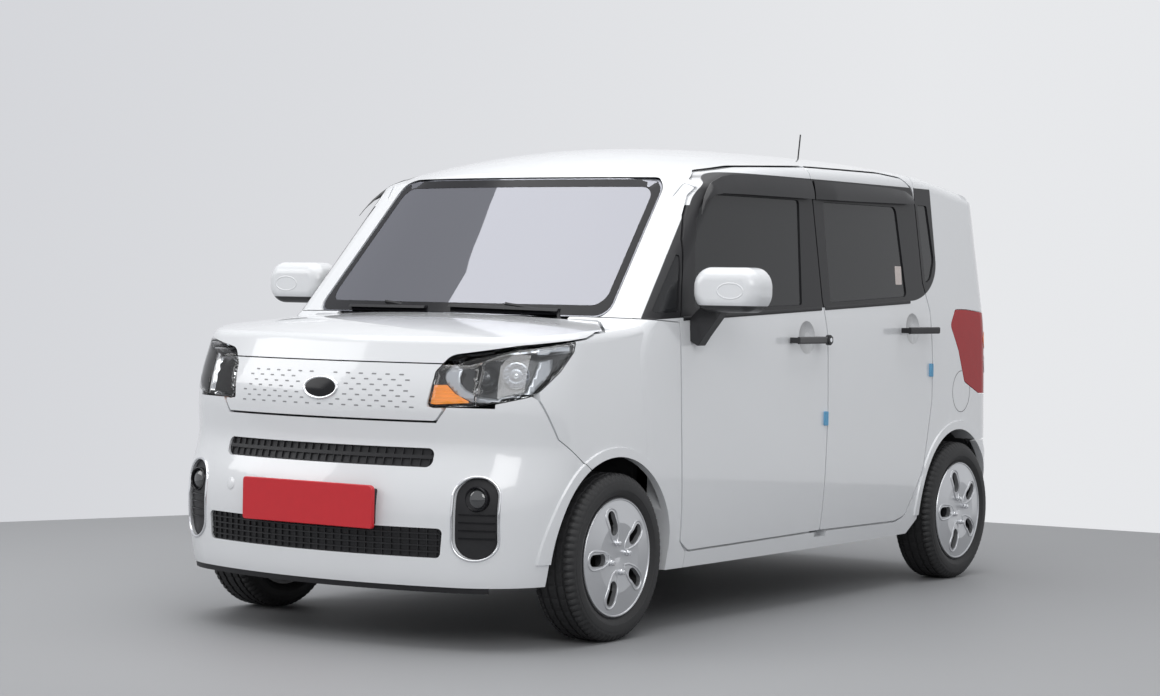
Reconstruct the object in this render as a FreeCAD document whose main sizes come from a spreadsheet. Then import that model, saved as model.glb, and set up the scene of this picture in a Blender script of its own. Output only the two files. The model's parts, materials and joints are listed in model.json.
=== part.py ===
import FreeCAD
import Part
import math
import os
from FreeCAD import Vector

os.makedirs("parts", exist_ok=True)

doc = FreeCAD.newDocument("kei_car")

# Driving dimensions, in millimetres and degrees. Lengths run from the front axle, heights from the ground.
DIMENSIONS = (
    ("front_end", 640.0),
    ("rear_end", 2955.0),
    ("wheel_base", 2520.0),
    ("half_track", 705.0),
    ("roof_top", 1700.0),
    ("skin_depth", 22.0),
    ("frame_depth", 82.0),
    ("shut_gap", 7.0),
    ("tyre_radius", 277.0),
    ("tyre_width", 165.0),
    ("rim_radius", 195.0),
    ("bead_radius", 180.0),
    ("arch_radius", 330.0),
    ("lug_circle", 100.0),
    ("lug_radius", 9.0),
    ("slot_length", 84.0),
    ("slot_width", 40.0),
    ("slot_centre", 121.0),
    ("disc_radius", 120.0),
    ("disc_thick", 18.0),
    ("steering_radius", 180.0),
    ("steering_rim", 14.0),
    ("column_tilt", 28.0),
    ("engine_width", 480.0),
    ("engine_length", 360.0),
    ("engine_height", 420.0),
    ("tank_width", 920.0),
    ("tank_length", 250.0),
    ("tank_height", 150.0),
    ("seat_width", 490.0),
    ("bench_width", 1076.0),
    ("pipe_radius", 22.0),
    ("muffler_radius", 75.0),
    ("axle_beam", 70.0),
    ("mast_height", 118.0),
    ("mast_radius", 2.5),
)
sheet = doc.addObject("Spreadsheet::Sheet", "dims")
row = 1
for name, value in DIMENSIONS:
    sheet.set("A%d" % row, name)
    sheet.set("B%d" % row, "%g" % value)
    sheet.setAlias("B%d" % row, name)
    row += 1
doc.recompute()


def dim(name):
    return float(getattr(sheet, name))


# The part's own frame: middle of the length and width, on the ground.
SHIFT = -(dim("rear_end") - dim("front_end")) / 2.0
BASE = dim("wheel_base")
TRACK = dim("half_track")
HUB = dim("tyre_radius")
ARCH = dim("arch_radius")
SKIN = dim("skin_depth")
DEEP = dim("frame_depth")
GAP = dim("shut_gap")

nodes = {}


def keep(node, shape, at=None):
    # one sub-part from a finished shape, moved to the part's frame
    made = doc.addObject("Part::Feature", node)
    made.Label = node
    made.Shape = shape
    spot = Vector(0, SHIFT, 0)
    if at is not None:
        spot = spot.add(at)
    made.Placement = FreeCAD.Placement(spot, FreeCAD.Rotation())
    nodes[node] = made
    return made


def mirrored(shape):
    return shape.mirror(Vector(0, 0, 0), Vector(1, 0, 0))


def both(shape):
    return Part.makeCompound([shape, mirrored(shape)])


def join(shapes):
    whole = shapes[0]
    if len(shapes) > 1:
        whole = shapes[0].multiFuse(shapes[1:])
    return whole.removeSplitter()


def box(x0, x1, y0, y1, z0, z1):
    return Part.makeBox(x1 - x0, y1 - y0, z1 - z0, Vector(x0, y0, z0))


def loop(points, lift):
    # closed outline with rounded corners; a point is (u, v) or (u, v, corner radius)
    corners = []
    count = len(points)
    for i in range(count):
        u, v = points[i][0], points[i][1]
        r = points[i][2] if len(points[i]) > 2 else 0.0
        before = points[i - 1]
        after = points[(i + 1) % count]
        if r <= 0.0:
            corners.append(((u, v), None, (u, v)))
            continue
        ax, ay = before[0] - u, before[1] - v
        bx, by = after[0] - u, after[1] - v
        al = math.hypot(ax, ay)
        bl = math.hypot(bx, by)
        ax, ay, bx, by = ax / al, ay / al, bx / bl, by / bl
        half = math.acos(max(-1.0, min(1.0, ax * bx + ay * by))) / 2.0
        run = min(r / math.tan(half), 0.48 * al, 0.48 * bl)
        r = run * math.tan(half)
        mx, my = ax + bx, ay + by
        ml = math.hypot(mx, my)
        reach = r / math.sin(half) - r
        corners.append(((u + ax * run, v + ay * run), (u + mx / ml * reach, v + my / ml * reach),
                        (u + bx * run, v + by * run)))
    edges = []
    for i in range(count):
        start, middle, end = corners[i]
        if middle is not None:
            edges.append(Part.Arc(lift(*start), lift(*middle), lift(*end)).toShape())
        nxt = corners[(i + 1) % count][0]
        if math.hypot(nxt[0] - end[0], nxt[1] - end[1]) > 0.01:
            edges.append(Part.makeLine(lift(*end), lift(*nxt)))
    return Part.Face(Part.Wire(edges))


def side_prism(points, x0=300.0, x1=900.0):
    # outline in length and height, run sideways
    return loop(points, lambda u, v: Vector(x0, u, v)).extrude(Vector(x1 - x0, 0, 0))


def front_prism(points, y0, y1):
    return loop(points, lambda u, v: Vector(u, y0, v)).extrude(Vector(0, y1 - y0, 0))


def top_prism(points, z0, z1):
    return loop(points, lambda u, v: Vector(u, v, z0)).extrude(Vector(0, 0, z1 - z0))


def grown(points, step):
    # the outline moved outwards (inwards when step is below zero)
    area = 0.0
    count = len(points)
    for i in range(count):
        a, b = points[i], points[(i + 1) % count]
        area += a[0] * b[1] - b[0] * a[1]
    turn = 1.0 if area > 0 else -1.0
    out = []
    for i in range(count):
        p, q, s = points[i - 1], points[i], points[(i + 1) % count]
        ax, ay = q[0] - p[0], q[1] - p[1]
        bx, by = s[0] - q[0], s[1] - q[1]
        al, bl = math.hypot(ax, ay), math.hypot(bx, by)
        n1 = (ay / al * turn, -ax / al * turn)
        n2 = (by / bl * turn, -bx / bl * turn)
        k = step / max(0.35, 1.0 + n1[0] * n2[0] + n1[1] * n2[1])
        r = max(0.0, (q[2] if len(q) > 2 else 0.0) + step)
        out.append((q[0] + (n1[0] + n2[0]) * k, q[1] + (n1[1] + n2[1]) * k, r))
    return out


# Outer surface of the body. Each level gives height, half width, front end and rear end.
SIDE_BOW = 40000.0
BOW_MIDDLE = 1160.0
LOWER = ((150, 752, -30, 2905), (400, 787, -30, 2943), (700, 790.5, -30, 2941), (980, 787, -30, 2933),
         (1062, 782, 52, 2929))
UPPER = ((1062, 782, 52, 2929), (1780, 698, 736, 2870))
NOSE = ((150, 747, -598), (290, 773, -638), (430, 786, -640), (540, 788, -622), (640, 789, -591), (720, 789, -594),
        (900, 784, -563), (1010, 777, -519), (1120, 767, -468))


def crossing(c1, r1, c2, r2, pick):
    dx, dy = c2[0] - c1[0], c2[1] - c1[1]
    d = math.hypot(dx, dy)
    a = (r1 * r1 - r2 * r2 + d * d) / (2.0 * d)
    h = math.sqrt(max(r1 * r1 - a * a, 0.0))
    mx, my = c1[0] + a * dx / d, c1[1] + a * dy / d
    return max([(mx - h * dy / d, my + h * dx / d), (mx + h * dy / d, my - h * dx / d)], key=pick)


def towards(c, k, r):
    d = math.hypot(k[0] - c[0], k[1] - c[1])
    return (c[0] + (k[0] - c[0]) / d * r, c[1] + (k[1] - c[1]) / d * r)


def plan_arc(c, r, p, q, z):
    # circular arc as a cubic curve with its two end tangents
    a = math.atan2(p[1] - c[1], p[0] - c[0])
    b = math.atan2(q[1] - c[1], q[0] - c[0])
    k = 4.0 / 3.0 * math.tan((b - a) / 4.0) * r
    curve = Part.BezierCurve()
    curve.setPoles([Vector(p[0], p[1], z), Vector(p[0] - k * math.sin(a), p[1] + k * math.cos(a), z),
                    Vector(q[0] + k * math.sin(b), q[1] - k * math.cos(b), z), Vector(q[0], q[1], z)])
    return curve.toShape()


def plan(z, w, yf, yr, front_bow, front_corner, rear_bow, rear_corner):
    # half outline seen from above: bowed front, corner, nearly flat side, corner, bowed rear
    side_c = (w - SIDE_BOW, BOW_MIDDLE)
    front_c = (0.0, yf + front_bow)
    rear_c = (0.0, yr - rear_bow)
    kf = crossing(front_c, front_bow - front_corner, side_c, SIDE_BOW - front_corner, lambda p: p[0] - 3 * p[1])
    kr = crossing(rear_c, rear_bow - rear_corner, side_c, SIDE_BOW - rear_corner, lambda p: p[0] + 3 * p[1])
    a = (0.0, yf)
    b = towards(front_c, kf, front_bow)
    c = towards(side_c, kf, SIDE_BOW)
    d = towards(side_c, kr, SIDE_BOW)
    e = towards(rear_c, kr, rear_bow)
    f = (0.0, yr)
    edges = [plan_arc(front_c, front_bow, a, b, z), plan_arc(kf, front_corner, b, c, z),
             plan_arc(side_c, SIDE_BOW, c, d, z), plan_arc(kr, rear_corner, d, e, z),
             plan_arc(rear_c, rear_bow, e, f, z), Part.makeLine(Vector(0, yr, z), Vector(0, yf, z))]
    return Part.Wire(edges)


ROOF_LINE = ((380, 1490), (600, 1594), (900, 1664), (1300, 1693), (1800, 1700), (2400, 1679), (3000, 1618))
HOOD_LINE = ((-720, 928), (-560, 979), (-400, 1020), (-180, 1051), (150, 1078), (700, 1095))
ROOF_X = (-150, 200, 550, 900)


def roof_drop(x):
    return 76.0 * (x / 700.0) ** 2


def hood_drop(x):
    return 42.0 * (x / 768.0) ** 2


def above(line, drop):
    # everything over a crowned top surface
    surface = Part.BSplineSurface()
    surface.interpolate([[Vector(x, y, z - drop(x)) for y, z in line] for x in ROOF_X])
    return Part.Face(surface).extrude(Vector(0, 0, 500))


OVER_ROOF = above(ROOF_LINE, roof_drop)
OVER_HOOD = above(HOOD_LINE, hood_drop)


def lowered(solid, off):
    moved = solid.copy()
    moved.translate(Vector(0, 0, -off))
    return moved


def top_edges(solid, low, keep_edge):
    picked = []
    for edge in solid.Edges:
        b = edge.BoundBox
        if b.ZMin > low and b.XMax > 5.0 and edge.Length > 5.0 and keep_edge(b):
            picked.append(edge)
    return picked


def wall_plans(levels, off):
    return [plan(z, w - off, yf + off, yr - off, 2200.0, 110.0 - off, 4000.0, 130.0 - off)
            for z, w, yf, yr in levels]


def cabin_hull(off, rounding=0.0):
    # one half of the cabin volume, its walls moved inwards by off
    lower = Part.makeLoft(wall_plans(LOWER, off), True, False)
    upper = Part.makeLoft(wall_plans(UPPER, off), True, True)
    cabin = lower.fuse(upper).cut(lowered(OVER_ROOF, off))
    if rounding > 0:
        cabin = cabin.makeFillet(rounding, top_edges(cabin, 1460.0, lambda b: True))
    return cabin


def nose_hull(off, rounding=0.0):
    # one half of the nose volume, its walls moved inwards by off
    levels = [plan(z, w - off, yf + off, 600.0, 1700.0, 300.0 - off, 50000.0, 90.0 - off)
              for z, w, yf in NOSE]
    nose = Part.makeLoft(levels, True, False).cut(lowered(OVER_HOOD, off))
    if rounding > 0:
        rim = top_edges(nose, 900.0, lambda b: b.YMin < 590.0 and not (b.XMin < 1.0 and b.YMax > 590.0))
        nose = nose.makeFillet(rounding, rim)
    return nose


def hull(off, roof_round=0.0, hood_round=0.0):
    whole = cabin_hull(off, roof_round).fuse(nose_hull(off, hood_round))
    return whole.cut(box(-5, 900, -800, 3100, 100, 205))


OUTER = hull(0.0, 55.0, 40.0)
FLANGE = hull(SKIN - 6.0)
UNDER = hull(SKIN)
INNER = hull(DEEP)


# Outlines seen from the left side: length from the front axle, height above ground.
FRONT_DOOR = ((455, 268, 45), (404, 300, 20), (385, 680), (372, 1046, 10), (385, 1083), (404, 1174), (422, 1245),
              (456, 1328), (510, 1410), (570, 1482), (640, 1538, 60), (744, 1576, 120), (900, 1598, 400),
              (1346, 1617, 12), (1359, 1130), (1384, 1000), (1390, 720), (1368, 275, 8))
REAR_DOOR = ((1375, 275, 8), (1397, 720), (1391, 1000), (1366, 1130), (1353, 1617, 12), (1930, 1620, 400),
             (2110, 1608, 80), (2192, 1567, 40), (2206, 1500), (2216, 1200), (2262, 1090, 60), (2275, 900),
             (2275, 730, 80), (2205, 456, 120), (2070, 285, 60), (1990, 268, 30))
FRONT_PANE = ((466, 1092, 12), (482, 1175), (502, 1290, 40), (530, 1380, 40), (566, 1436, 40), (614, 1491, 30),
              (1249, 1493, 14), (1206, 1108, 12))
REAR_PANE = ((1424, 1118, 12), (1432, 1492, 14), (2034, 1494, 30), (2066, 1144, 20))
FRONT_QUARTER = ((222, 1078, 8), (364, 1082, 8), (388, 1180), (406, 1240), (424, 1296, 8))
REAR_QUARTER = ((2246, 1196, 14), (2300, 1216, 50), (2344, 1290, 50), (2318, 1508, 12), (2230, 1508, 12))


# Side structure: pillars, roof rail, sill and rear quarter, with the door openings cut.
SIDE_SHAPE = ((300, 208), (2110, 208), (2190, 262), (2690, 262), (2690, 560), (3000, 560), (3000, 1760),
              (500, 1760), (90, 1062), (300, 1046))
SCREEN = ((-628, 1062, 40), (628, 1062, 40), (571, 1546, 60), (-571, 1546, 60))
ROOF_SHAPE = ((-600, 440, 40), (600, 440, 40), (640, 598), (800, 612), (800, 2199), (664, 2211), (668, 2690, 10),
              (-668, 2690, 10), (-664, 2211), (-800, 2199), (-800, 612), (-640, 598))
GATE_SHAPE = ((-655, 612, 60), (655, 612, 60), (668, 1100), (630, 1560, 60), (-630, 1560, 60), (-668, 1100))
GATE_PANE = ((-560, 1110, 40), (560, 1110, 40), (540, 1480, 50), (-540, 1480, 50))
LAMP_SIDE = ((2458, 1030, 20), (2512, 1093, 30), (2620, 1092), (3000, 1066), (3000, 742), (2740, 748, 30),
             (2592, 800, 25), (2530, 930))


def roll(x, y, z, radius, length):
    # solid cylinder lying across the car
    return Part.makeCylinder(radius, length, Vector(x, y, z), Vector(1, 0, 0))


arches = join([roll(250, 0, HUB, ARCH, 700), roll(250, BASE, HUB, ARCH, 700),
               box(250, 950, BASE - ARCH, BASE + ARCH, 100, HUB), box(250, 950, -ARCH, ARCH, 100, HUB)])


swell = cabin_hull(-7.0).common(box(600, 900, 2100, 2950, 200, 700))
swell = swell.fuse(nose_hull(-7.0).common(box(500, 900, -450, 450, 200, 700))).cut(OUTER)


def lip(y):
    # raised band round a wheel arch, wider where the body draws in
    ring = Part.makeCone(ARCH + 102.0, ARCH + 14.0, 220.0, Vector(600.0, y, HUB), Vector(1, 0, 0))
    return ring.cut([roll(500, y, HUB, ARCH, 400), box(500, 900, y - 500, y + 500, -300, HUB)]).common(swell)


FENDER_SIDE = ((-93, 538), (-302, 674), (-329, 725), (-368, 800), (-370, 1100), (90, 1100), (90, 1062),
               (365, 1046), (377, 680), (396, 300), (440, 262), (440, 208), (250, 208), (250, 300))
front_deep = grown(FRONT_DOOR, -12.0)
rear_deep = grown(REAR_DOOR, -12.0)
side_shell = side_prism(SIDE_SHAPE, 300.0, 900.0).common(OUTER).cut(INNER)
below_rail = box(250, 900, 0, 3000, 0, 1534)
openings = [side_prism(grown(FRONT_DOOR, GAP)).cut(UNDER), side_prism(grown(REAR_DOOR, GAP)).cut(UNDER),
            side_prism(grown(FENDER_SIDE, 3.0), 500.0).cut(UNDER), side_prism(grown(LAMP_SIDE, 3.0)).cut(UNDER),
            side_prism(front_deep).common(below_rail), side_prism(rear_deep).common(below_rail),
            box(300, 900, 1330, 1420, 262, 1534),
            box(700, 900, 1335, 1425, 250, 300).cut(box(0, 736, 1300, 1450, 200, 400)),
            arches, front_prism(grown(SCREEN, 5.0), -200, 900).cut(box(-900, 900, -200, 1000, 1600, 1900)),
            top_prism(grown(ROOF_SHAPE, 5.0), 1480, 1900).cut(UNDER), box(0, 610, 440, 2690, 1480, 1900),
            front_prism(grown(GATE_SHAPE, GAP + 1.5), 2740, 3100),
            box(0, 690, 2680, 3100, 1540, 1900), side_prism(REAR_QUARTER), side_prism(FRONT_QUARTER),
            box(0, 556, -700, 1000, 0, 1700)]
side_shell = side_shell.cut(openings)
rear_lip = lip(BASE)
quarter_lip = rear_lip.cut([box(500, 900, 2693, 3000, 0, 557), side_prism(grown(REAR_DOOR, GAP))])
side_shell = max(join([side_shell, quarter_lip]).Solids, key=lambda solid: solid.Volume)
column = box(500, 900, 1337, 1413, 240, 1590).common(cabin_hull(66.0)).cut(cabin_hull(108.0))
left_side = side_shell.fuse(column)
right_side = mirrored(side_shell)
keep("side_frame_left", left_side)
keep("side_frame_right", right_side)

# Roof, down to the tops of the doors.
roof = top_prism(ROOF_SHAPE, 1480, 1900).common(OUTER).cut(UNDER)
roof = roof.cut([side_prism(grown(FRONT_DOOR, GAP), 500.0), side_prism(grown(REAR_DOOR, GAP), 500.0),
                 front_prism(grown(SCREEN, 5.0), -200, 800)])
keep("roof_panel", join([roof, mirrored(roof)]))

# Nose parts, cut from the same surface.
BUMPER_SIDE = ((-760, 190), (-250, 190), (-250, 400), (-100, 538), (-309, 674), (-336, 725), (-375, 800),
               (-440, 850), (-760, 850))
LAMP_FACE = ((-94, 773, 12), (60, 780, 200), (232, 817, 120), (316, 890, 80), (367, 953, 10), (375, 987, 6),
             (186, 968, 300), (-20, 935, 60), (-69, 883, 30))
SLOT = ((-432, 581, 22), (432, 581, 22), (432, 641, 22), (-432, 641, 22))
MOUTH = ((-482, 297, 16), (482, 297, 16), (490, 391, 16), (-490, 391, 16))
PANEL = ((0, 729), (432, 729, 12), (462, 772, 8), (402, 772, 8), (414, 860), (440, 908, 6), (0, 908))
BONNET_SIDE = ((-760, 912), (-480, 912), (-440, 941), (-395, 962), (-225, 991), (-160, 998), (-90, 1016),
               (150, 1030), (150, 1200), (-760, 1200))
POD_X = 587.0
POD_Z = 425.0


def diagonal(points, near=-200.0, far=900.0):
    # outline looked at along the diagonal through the front corner, run along it
    s = math.sqrt(0.5)
    face = loop(points, lambda u, v: Vector(u * s - near * s + 0.0, u * s + near * s, v))
    return face.extrude(Vector((far - near) * s, -(far - near) * s, 0))


def pod(step, y0=-900.0, y1=-300.0):
    half = 64.0 + step
    tall = 128.0 + step
    pts = ((POD_X - half, POD_Z - tall, half), (POD_X + half, POD_Z - tall, half),
           (POD_X + half, POD_Z + tall, half), (POD_X - half, POD_Z + tall, half))
    return front_prism(pts, y0, y1)


lamp_hole = diagonal(grown(LAMP_FACE, 4.0))
front_lip = lip(0)
nose_skin = box(-1, 900, -800, 500, 150, 1200).common(OUTER).cut(UNDER)
bumper = nose_skin.common(side_prism(BUMPER_SIDE, -5.0, 900.0)).cut(lamp_hole)
panel_seat = front_prism(((-5, 722), (436, 722), (468, 767), (468, 1000), (-5, 1000)), -800, -300)
bumper = bumper.cut([panel_seat, box(-5, 620, -800, -300, 772, 1000), front_prism(SLOT, -800, -300),
                     front_prism(MOUTH, -800, -300), pod(0.0), arches])
bumper = join([bumper, front_lip.common(side_prism(BUMPER_SIDE))])
bumper = join([bumper, mirrored(bumper)])
panel = nose_skin.common(front_prism(PANEL, -800, -300)).cut(lamp_hole)
panel = join([panel, mirrored(panel)])
keep("front_bumper", Part.makeCompound([bumper, panel]))
fender = nose_skin.common(side_prism(FENDER_SIDE, 500.0, 900.0)).cut(lamp_hole).cut(arches)
BONNET_TOP = ((-5, -800), (900, -800), (900, -190), (778, -100), (612, 112, 20), (420, 66, 400), (200, 34, 400), (-5, 25))
bonnet_zone = side_prism(BONNET_SIDE, -5.0, 900.0).common(top_prism(BONNET_TOP, 850, 1200))
hood_cut = side_prism(grown(BONNET_SIDE, 6.0), -5.0, 900.0).common(top_prism(grown(BONNET_TOP, 11.0), 850, 1200))
fender = fender.cut(hood_cut)
fender = join([fender, front_lip.common(side_prism(FENDER_SIDE, 500.0))])
keep("front_fenders", both(fender))
hood_skin = box(-1, 900, -800, 500, 850, 1200).common(OUTER).cut(FLANGE)
bonnet = hood_skin.common(bonnet_zone).cut(lamp_hole)
keep("bonnet", join([bonnet, mirrored(bonnet)]))

lamp = diagonal(LAMP_FACE).common(nose_hull(0.0, 40.0)).cut(nose_hull(68.0))
lamp = lamp.cut(hood_cut)
keep("headlamps", both(lamp))
inset = nose_hull(12.0)
depth = nose_hull(45.0)
slot_fill = front_prism(grown(SLOT, -0.6), -800, -300).common(box(0, 900, -800, 0, 0, 900)).common(inset).cut(depth)
mouth_fill = front_prism(grown(MOUTH, -0.6), -800, -300).common(box(0, 900, -800, 0, 0, 900)).common(inset).cut(depth)
pod_fill = pod(-0.6).common(inset).cut(depth)
keep("front_grilles", Part.makeCompound([join([slot_fill, mirrored(slot_fill)]),
                                         join([mouth_fill, mirrored(mouth_fill)]), pod_fill,
                                         mirrored(pod_fill)]))

# Rear end.
REAR_BUMPER = ((2697, 206), (3000, 206), (3000, 553), (2697, 553))
rear_bumper = side_prism(REAR_BUMPER, -5.0, 900.0).common(OUTER).cut(UNDER).cut(arches)
sill_skin = front_prism(((-5, 540), (293, 540), (293, 603), (-5, 603)), 2800, 3100).common(OUTER).cut(UNDER)
rear_bumper = join([rear_bumper, rear_lip.common(side_prism(REAR_BUMPER)), sill_skin])
rear_bumper = join([rear_bumper, mirrored(rear_bumper)])
keep("rear_bumper", rear_bumper)
lamp = side_prism(LAMP_SIDE, 500.0, 900.0).common(OUTER).cut(UNDER)
lamp = lamp.cut(front_prism(grown(GATE_SHAPE, GAP), 2790, 3100))
keep("tail_lamps", both(lamp))

glass_out = cabin_hull(5.0)
glass_in = cabin_hull(9.5)

# Tailgate: the upright door with the roof edge it hangs from.
gate_zone = front_prism(GATE_SHAPE, 2800, 3100).common(box(0, 900, 2800, 3100, 500, 1547))
top_zone = box(0, 660, 2700, 3100, 1547, 1900)
gate = join([gate_zone.common(OUTER).cut(INNER), top_zone.common(OUTER).cut(UNDER)])
gate = gate.cut(front_prism(GATE_PANE, 2700, 3100))
keep("tailgate", join([gate, mirrored(gate)]))
pane = front_prism(grown(GATE_PANE, -0.6), 2700, 3100).common(box(0, 900, 2700, 3100, 500, 1700))
pane = pane.common(glass_out).cut(glass_in)
keep("tailgate_glass", join([pane, mirrored(pane)]))

# Glass.
screen = front_prism(SCREEN, -200, 900).common(box(0, 900, -200, 900, 1000, 1700)).common(glass_out).cut(glass_in)
screen = join([screen, mirrored(screen)])
keep("windscreen", screen)


def side_pane(outline):
    return side_prism(grown(outline, -0.6), 500.0).common(glass_out).cut(glass_in)


front_pane = side_pane(FRONT_PANE)
rear_pane = side_pane(REAR_PANE)
small_front = side_pane(FRONT_QUARTER).cut(side_shell)
small_rear = side_pane(REAR_QUARTER).cut(side_shell)
keep("side_glass", Part.makeCompound([small_front, mirrored(small_front), small_rear, mirrored(small_rear),
                                      mirrored(rear_pane)]))
keep("front_door_left_glass", front_pane)
keep("front_door_right_glass", mirrored(front_pane))
keep("rear_door_left_glass", rear_pane)


FRONT_INNER = ((428, 300, 40), (412, 680), (400, 1040), (420, 1085), (1318, 1085, 10), (1318, 292, 30), (470, 292, 30))
REAR_INNER = ((1432, 292, 30), (1432, 1085, 10), (2216, 1085, 10), (2236, 900), (2240, 740, 80), (2172, 470, 120),
              (2050, 306, 60), (1990, 292, 30))


def door(outline, inner_outline, pane_outline):
    # outer pressing with its flange, and the deeper inner panel below the window
    outer = side_prism(outline, 500.0).common(OUTER).cut(FLANGE)
    inner = side_prism(inner_outline, 500.0).common(FLANGE).cut(INNER)
    return outer.fuse(inner).cut(side_prism(pane_outline)).removeSplitter()


front_door = door(FRONT_DOOR, FRONT_INNER, FRONT_PANE)
rear_door = door(REAR_DOOR, REAR_INNER, REAR_PANE)
keep("front_door_left", front_door)
keep("front_door_right", mirrored(front_door))
keep("rear_door_left", rear_door)
keep("sliding_door", mirrored(rear_door))


def pull(y0, y1, z):
    # bar handle standing off the door on two feet
    bar = box(824, 838, y0, y1, z - 13, z + 13)
    bar = bar.makeFillet(6.5, [e for e in bar.Edges if abs(e.BoundBox.YLength) > 100])
    feet = join([box(793, 826, y0 + 4, y0 + 34, z - 10, z + 10), box(793, 826, y1 - 50, y1 - 4, z - 12, z + 12)])
    return join([bar, feet]).cut(OUTER)


def ear():
    # mirror head on its foot
    head = front_prism(((812, 1084, 66), (1072, 1084, 66), (1072, 1236, 66), (812, 1236, 66)), 366, 476)
    head = head.makeFillet(44.0, [edge for edge in head.Edges if edge.BoundBox.YMax < 367.0])
    foot = loop(((778, 1062, 10), (778, 985, 8), (812, 966, 6), (836, 1000, 20), (900, 1080, 20), (900, 1110), (830, 1110, 20)),
                lambda u, v: Vector(u, 430, v)).extrude(Vector(0, 44, 0))
    return join([head, foot.cut(OUTER)])


front_trim = Part.makeCompound([ear(), pull(1090, 1335, 981)])
keep("front_door_left_trim", front_trim)
keep("front_door_right_trim", mirrored(front_trim))
rear_pull = pull(1962, 2212, 1012)
keep("rear_door_left_handle", rear_pull)
keep("sliding_door_handle", mirrored(pull(1420, 1600, 1012)))

# Platform: floor, rails and rear wheel houses.
liner = cabin_hull(SKIN + 6.0)
turning_room = [roll(455, 0, HUB, 336, 260), roll(-715, 0, HUB, 336, 260)]
floor_parts = [box(-640, 640, 300, 1900, 236, 262), box(-640, 640, 1874, 1900, 236, 420),
               box(-560, 560, 1874, 2860, 396, 420), box(-90, 90, 326, 1890, 262, 330),
               box(-560, 560, 2834, 2858, 300, 600)]
for s in (-1, 1):
    floor_parts.append(box(min(s * 380, s * 440), max(s * 380, s * 440), 2760, 2850, 300, 400))
    floor_parts.append(box(min(s * 350, s * 430), max(s * 350, s * 430), 326, 1880, 206, 240))
    floor_parts.append(box(min(s * 636, s * 704), max(s * 636, s * 704), 420, 2050, 222, 258))
    house = roll(s * 560 if s > 0 else -700, BASE, HUB, 362, 140).cut(roll(-900, BASE, HUB, 347, 1800))
    house = house.cut(box(-900, 900, 2000, 3000, -200, 300)).common(liner if s > 0 else mirrored(liner))
    inner = roll(545 if s > 0 else -560, BASE, HUB, 362, 15).cut(box(-900, 900, 2000, 3000, -200, 345))
    floor_parts.append(house)
    floor_parts.append(inner)
platform = join(floor_parts).cut([left_side, right_side] + turning_room)
keep("platform", platform)

# Bulkhead behind the engine, with the front rails, strut shelves and the wells behind the front wheels.
bulkhead = [box(-640, 640, 300, 326, 262, 1010)]
for s in (-1, 1):
    bulkhead.append(box(min(s * 380, s * 440), max(s * 380, s * 440), -450, 310, 420, 500))
    bulkhead.append(box(min(s * 430, s * 590), max(s * 430, s * 590), -110, 310, 812, 840))
    bulkhead.append(box(min(s * 425, s * 440), max(s * 425, s * 440), -110, 310, 420, 840))
    ring = roll(455 if s > 0 else -640, 0, HUB, 350, 185).cut(roll(-900, 0, HUB, 338, 1800))
    bulkhead.append(ring.cut(box(-900, 900, -900, 280, -200, 900)).cut(box(-900, 900, 0, 900, -200, 262)))
keep("bulkhead", join(bulkhead).cut([left_side, right_side] + turning_room))

# Frame round the radiator, in front of the rails.
support = [box(-440, 440, -485, -450, 300, 345), box(-440, 440, -485, -450, 690, 720),
           box(-440, -400, -485, -450, 300, 720), box(400, 440, -485, -450, 300, 720),
           box(-402, 402, -480, -457, 343, 692)]
keep("radiator_support", join(support))

# Cowl and wipers.
cowl = top_prism(((0, 32), (200, 41), (420, 73), (606, 119), (606, 200), (0, 200)), 1004, 1032).common(OUTER)
keep("cowl", join([cowl, mirrored(cowl)]))
blade_band = cabin_hull(-13.0).cut(cabin_hull(4.0))
blades = []
for outline in (((20, 1086), (452, 1078), (452, 1087), (20, 1095)), ((-80, 1088), (-80, 1079), (-452, 1078), (-452, 1087))):
    blade = front_prism(outline, -100, 400)
    side = 1 if outline[0][0] > 0 else -1
    band = blade_band if side > 0 else mirrored(blade_band)
    blades.append(blade.common(band))
keep("wipers", Part.makeCompound(blades))

# Cabin.
tilt = math.radians(dim("column_tilt"))
toward = Vector(0, math.cos(tilt), math.sin(tilt))
column_end = Vector(340, 790, 985).sub(Vector(toward).multiply(167.0))
column = Part.makeCylinder(34, 130, column_end.sub(Vector(toward).multiply(130.0)), toward)
dash_side = ((335, 700), (335, 985), (420, 1004, 30), (540, 990, 40), (585, 930, 30), (560, 840, 20), (500, 730, 30))
dash = side_prism(dash_side, -620, 620)
console = side_prism(((400, 332), (400, 760), (560, 900), (610, 860, 20), (650, 560, 40), (650, 332)), -130, 130)
binnacle = side_prism(((460, 960), (440, 1040, 20), (560, 1034, 16), (590, 960, 10)), 205, 475)
dash = join([dash, console, binnacle, column])
keep("dashboard", dash)


def seat_side(front, hip, back_lean, top, floor):
    # side outline of a cushion with its backrest
    return ((front, floor + 20, 20), (front - 6, floor + 120, 45), (front + 60, floor + 150, 60),
            (hip - 30, floor + 122, 30), (hip + back_lean - 20, top - 20, 40), (hip + back_lean + 60, top, 35),
            (hip + back_lean + 96, top - 40, 30), (hip + 96, floor + 60, 40), (hip + 40, floor, 30))


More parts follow.
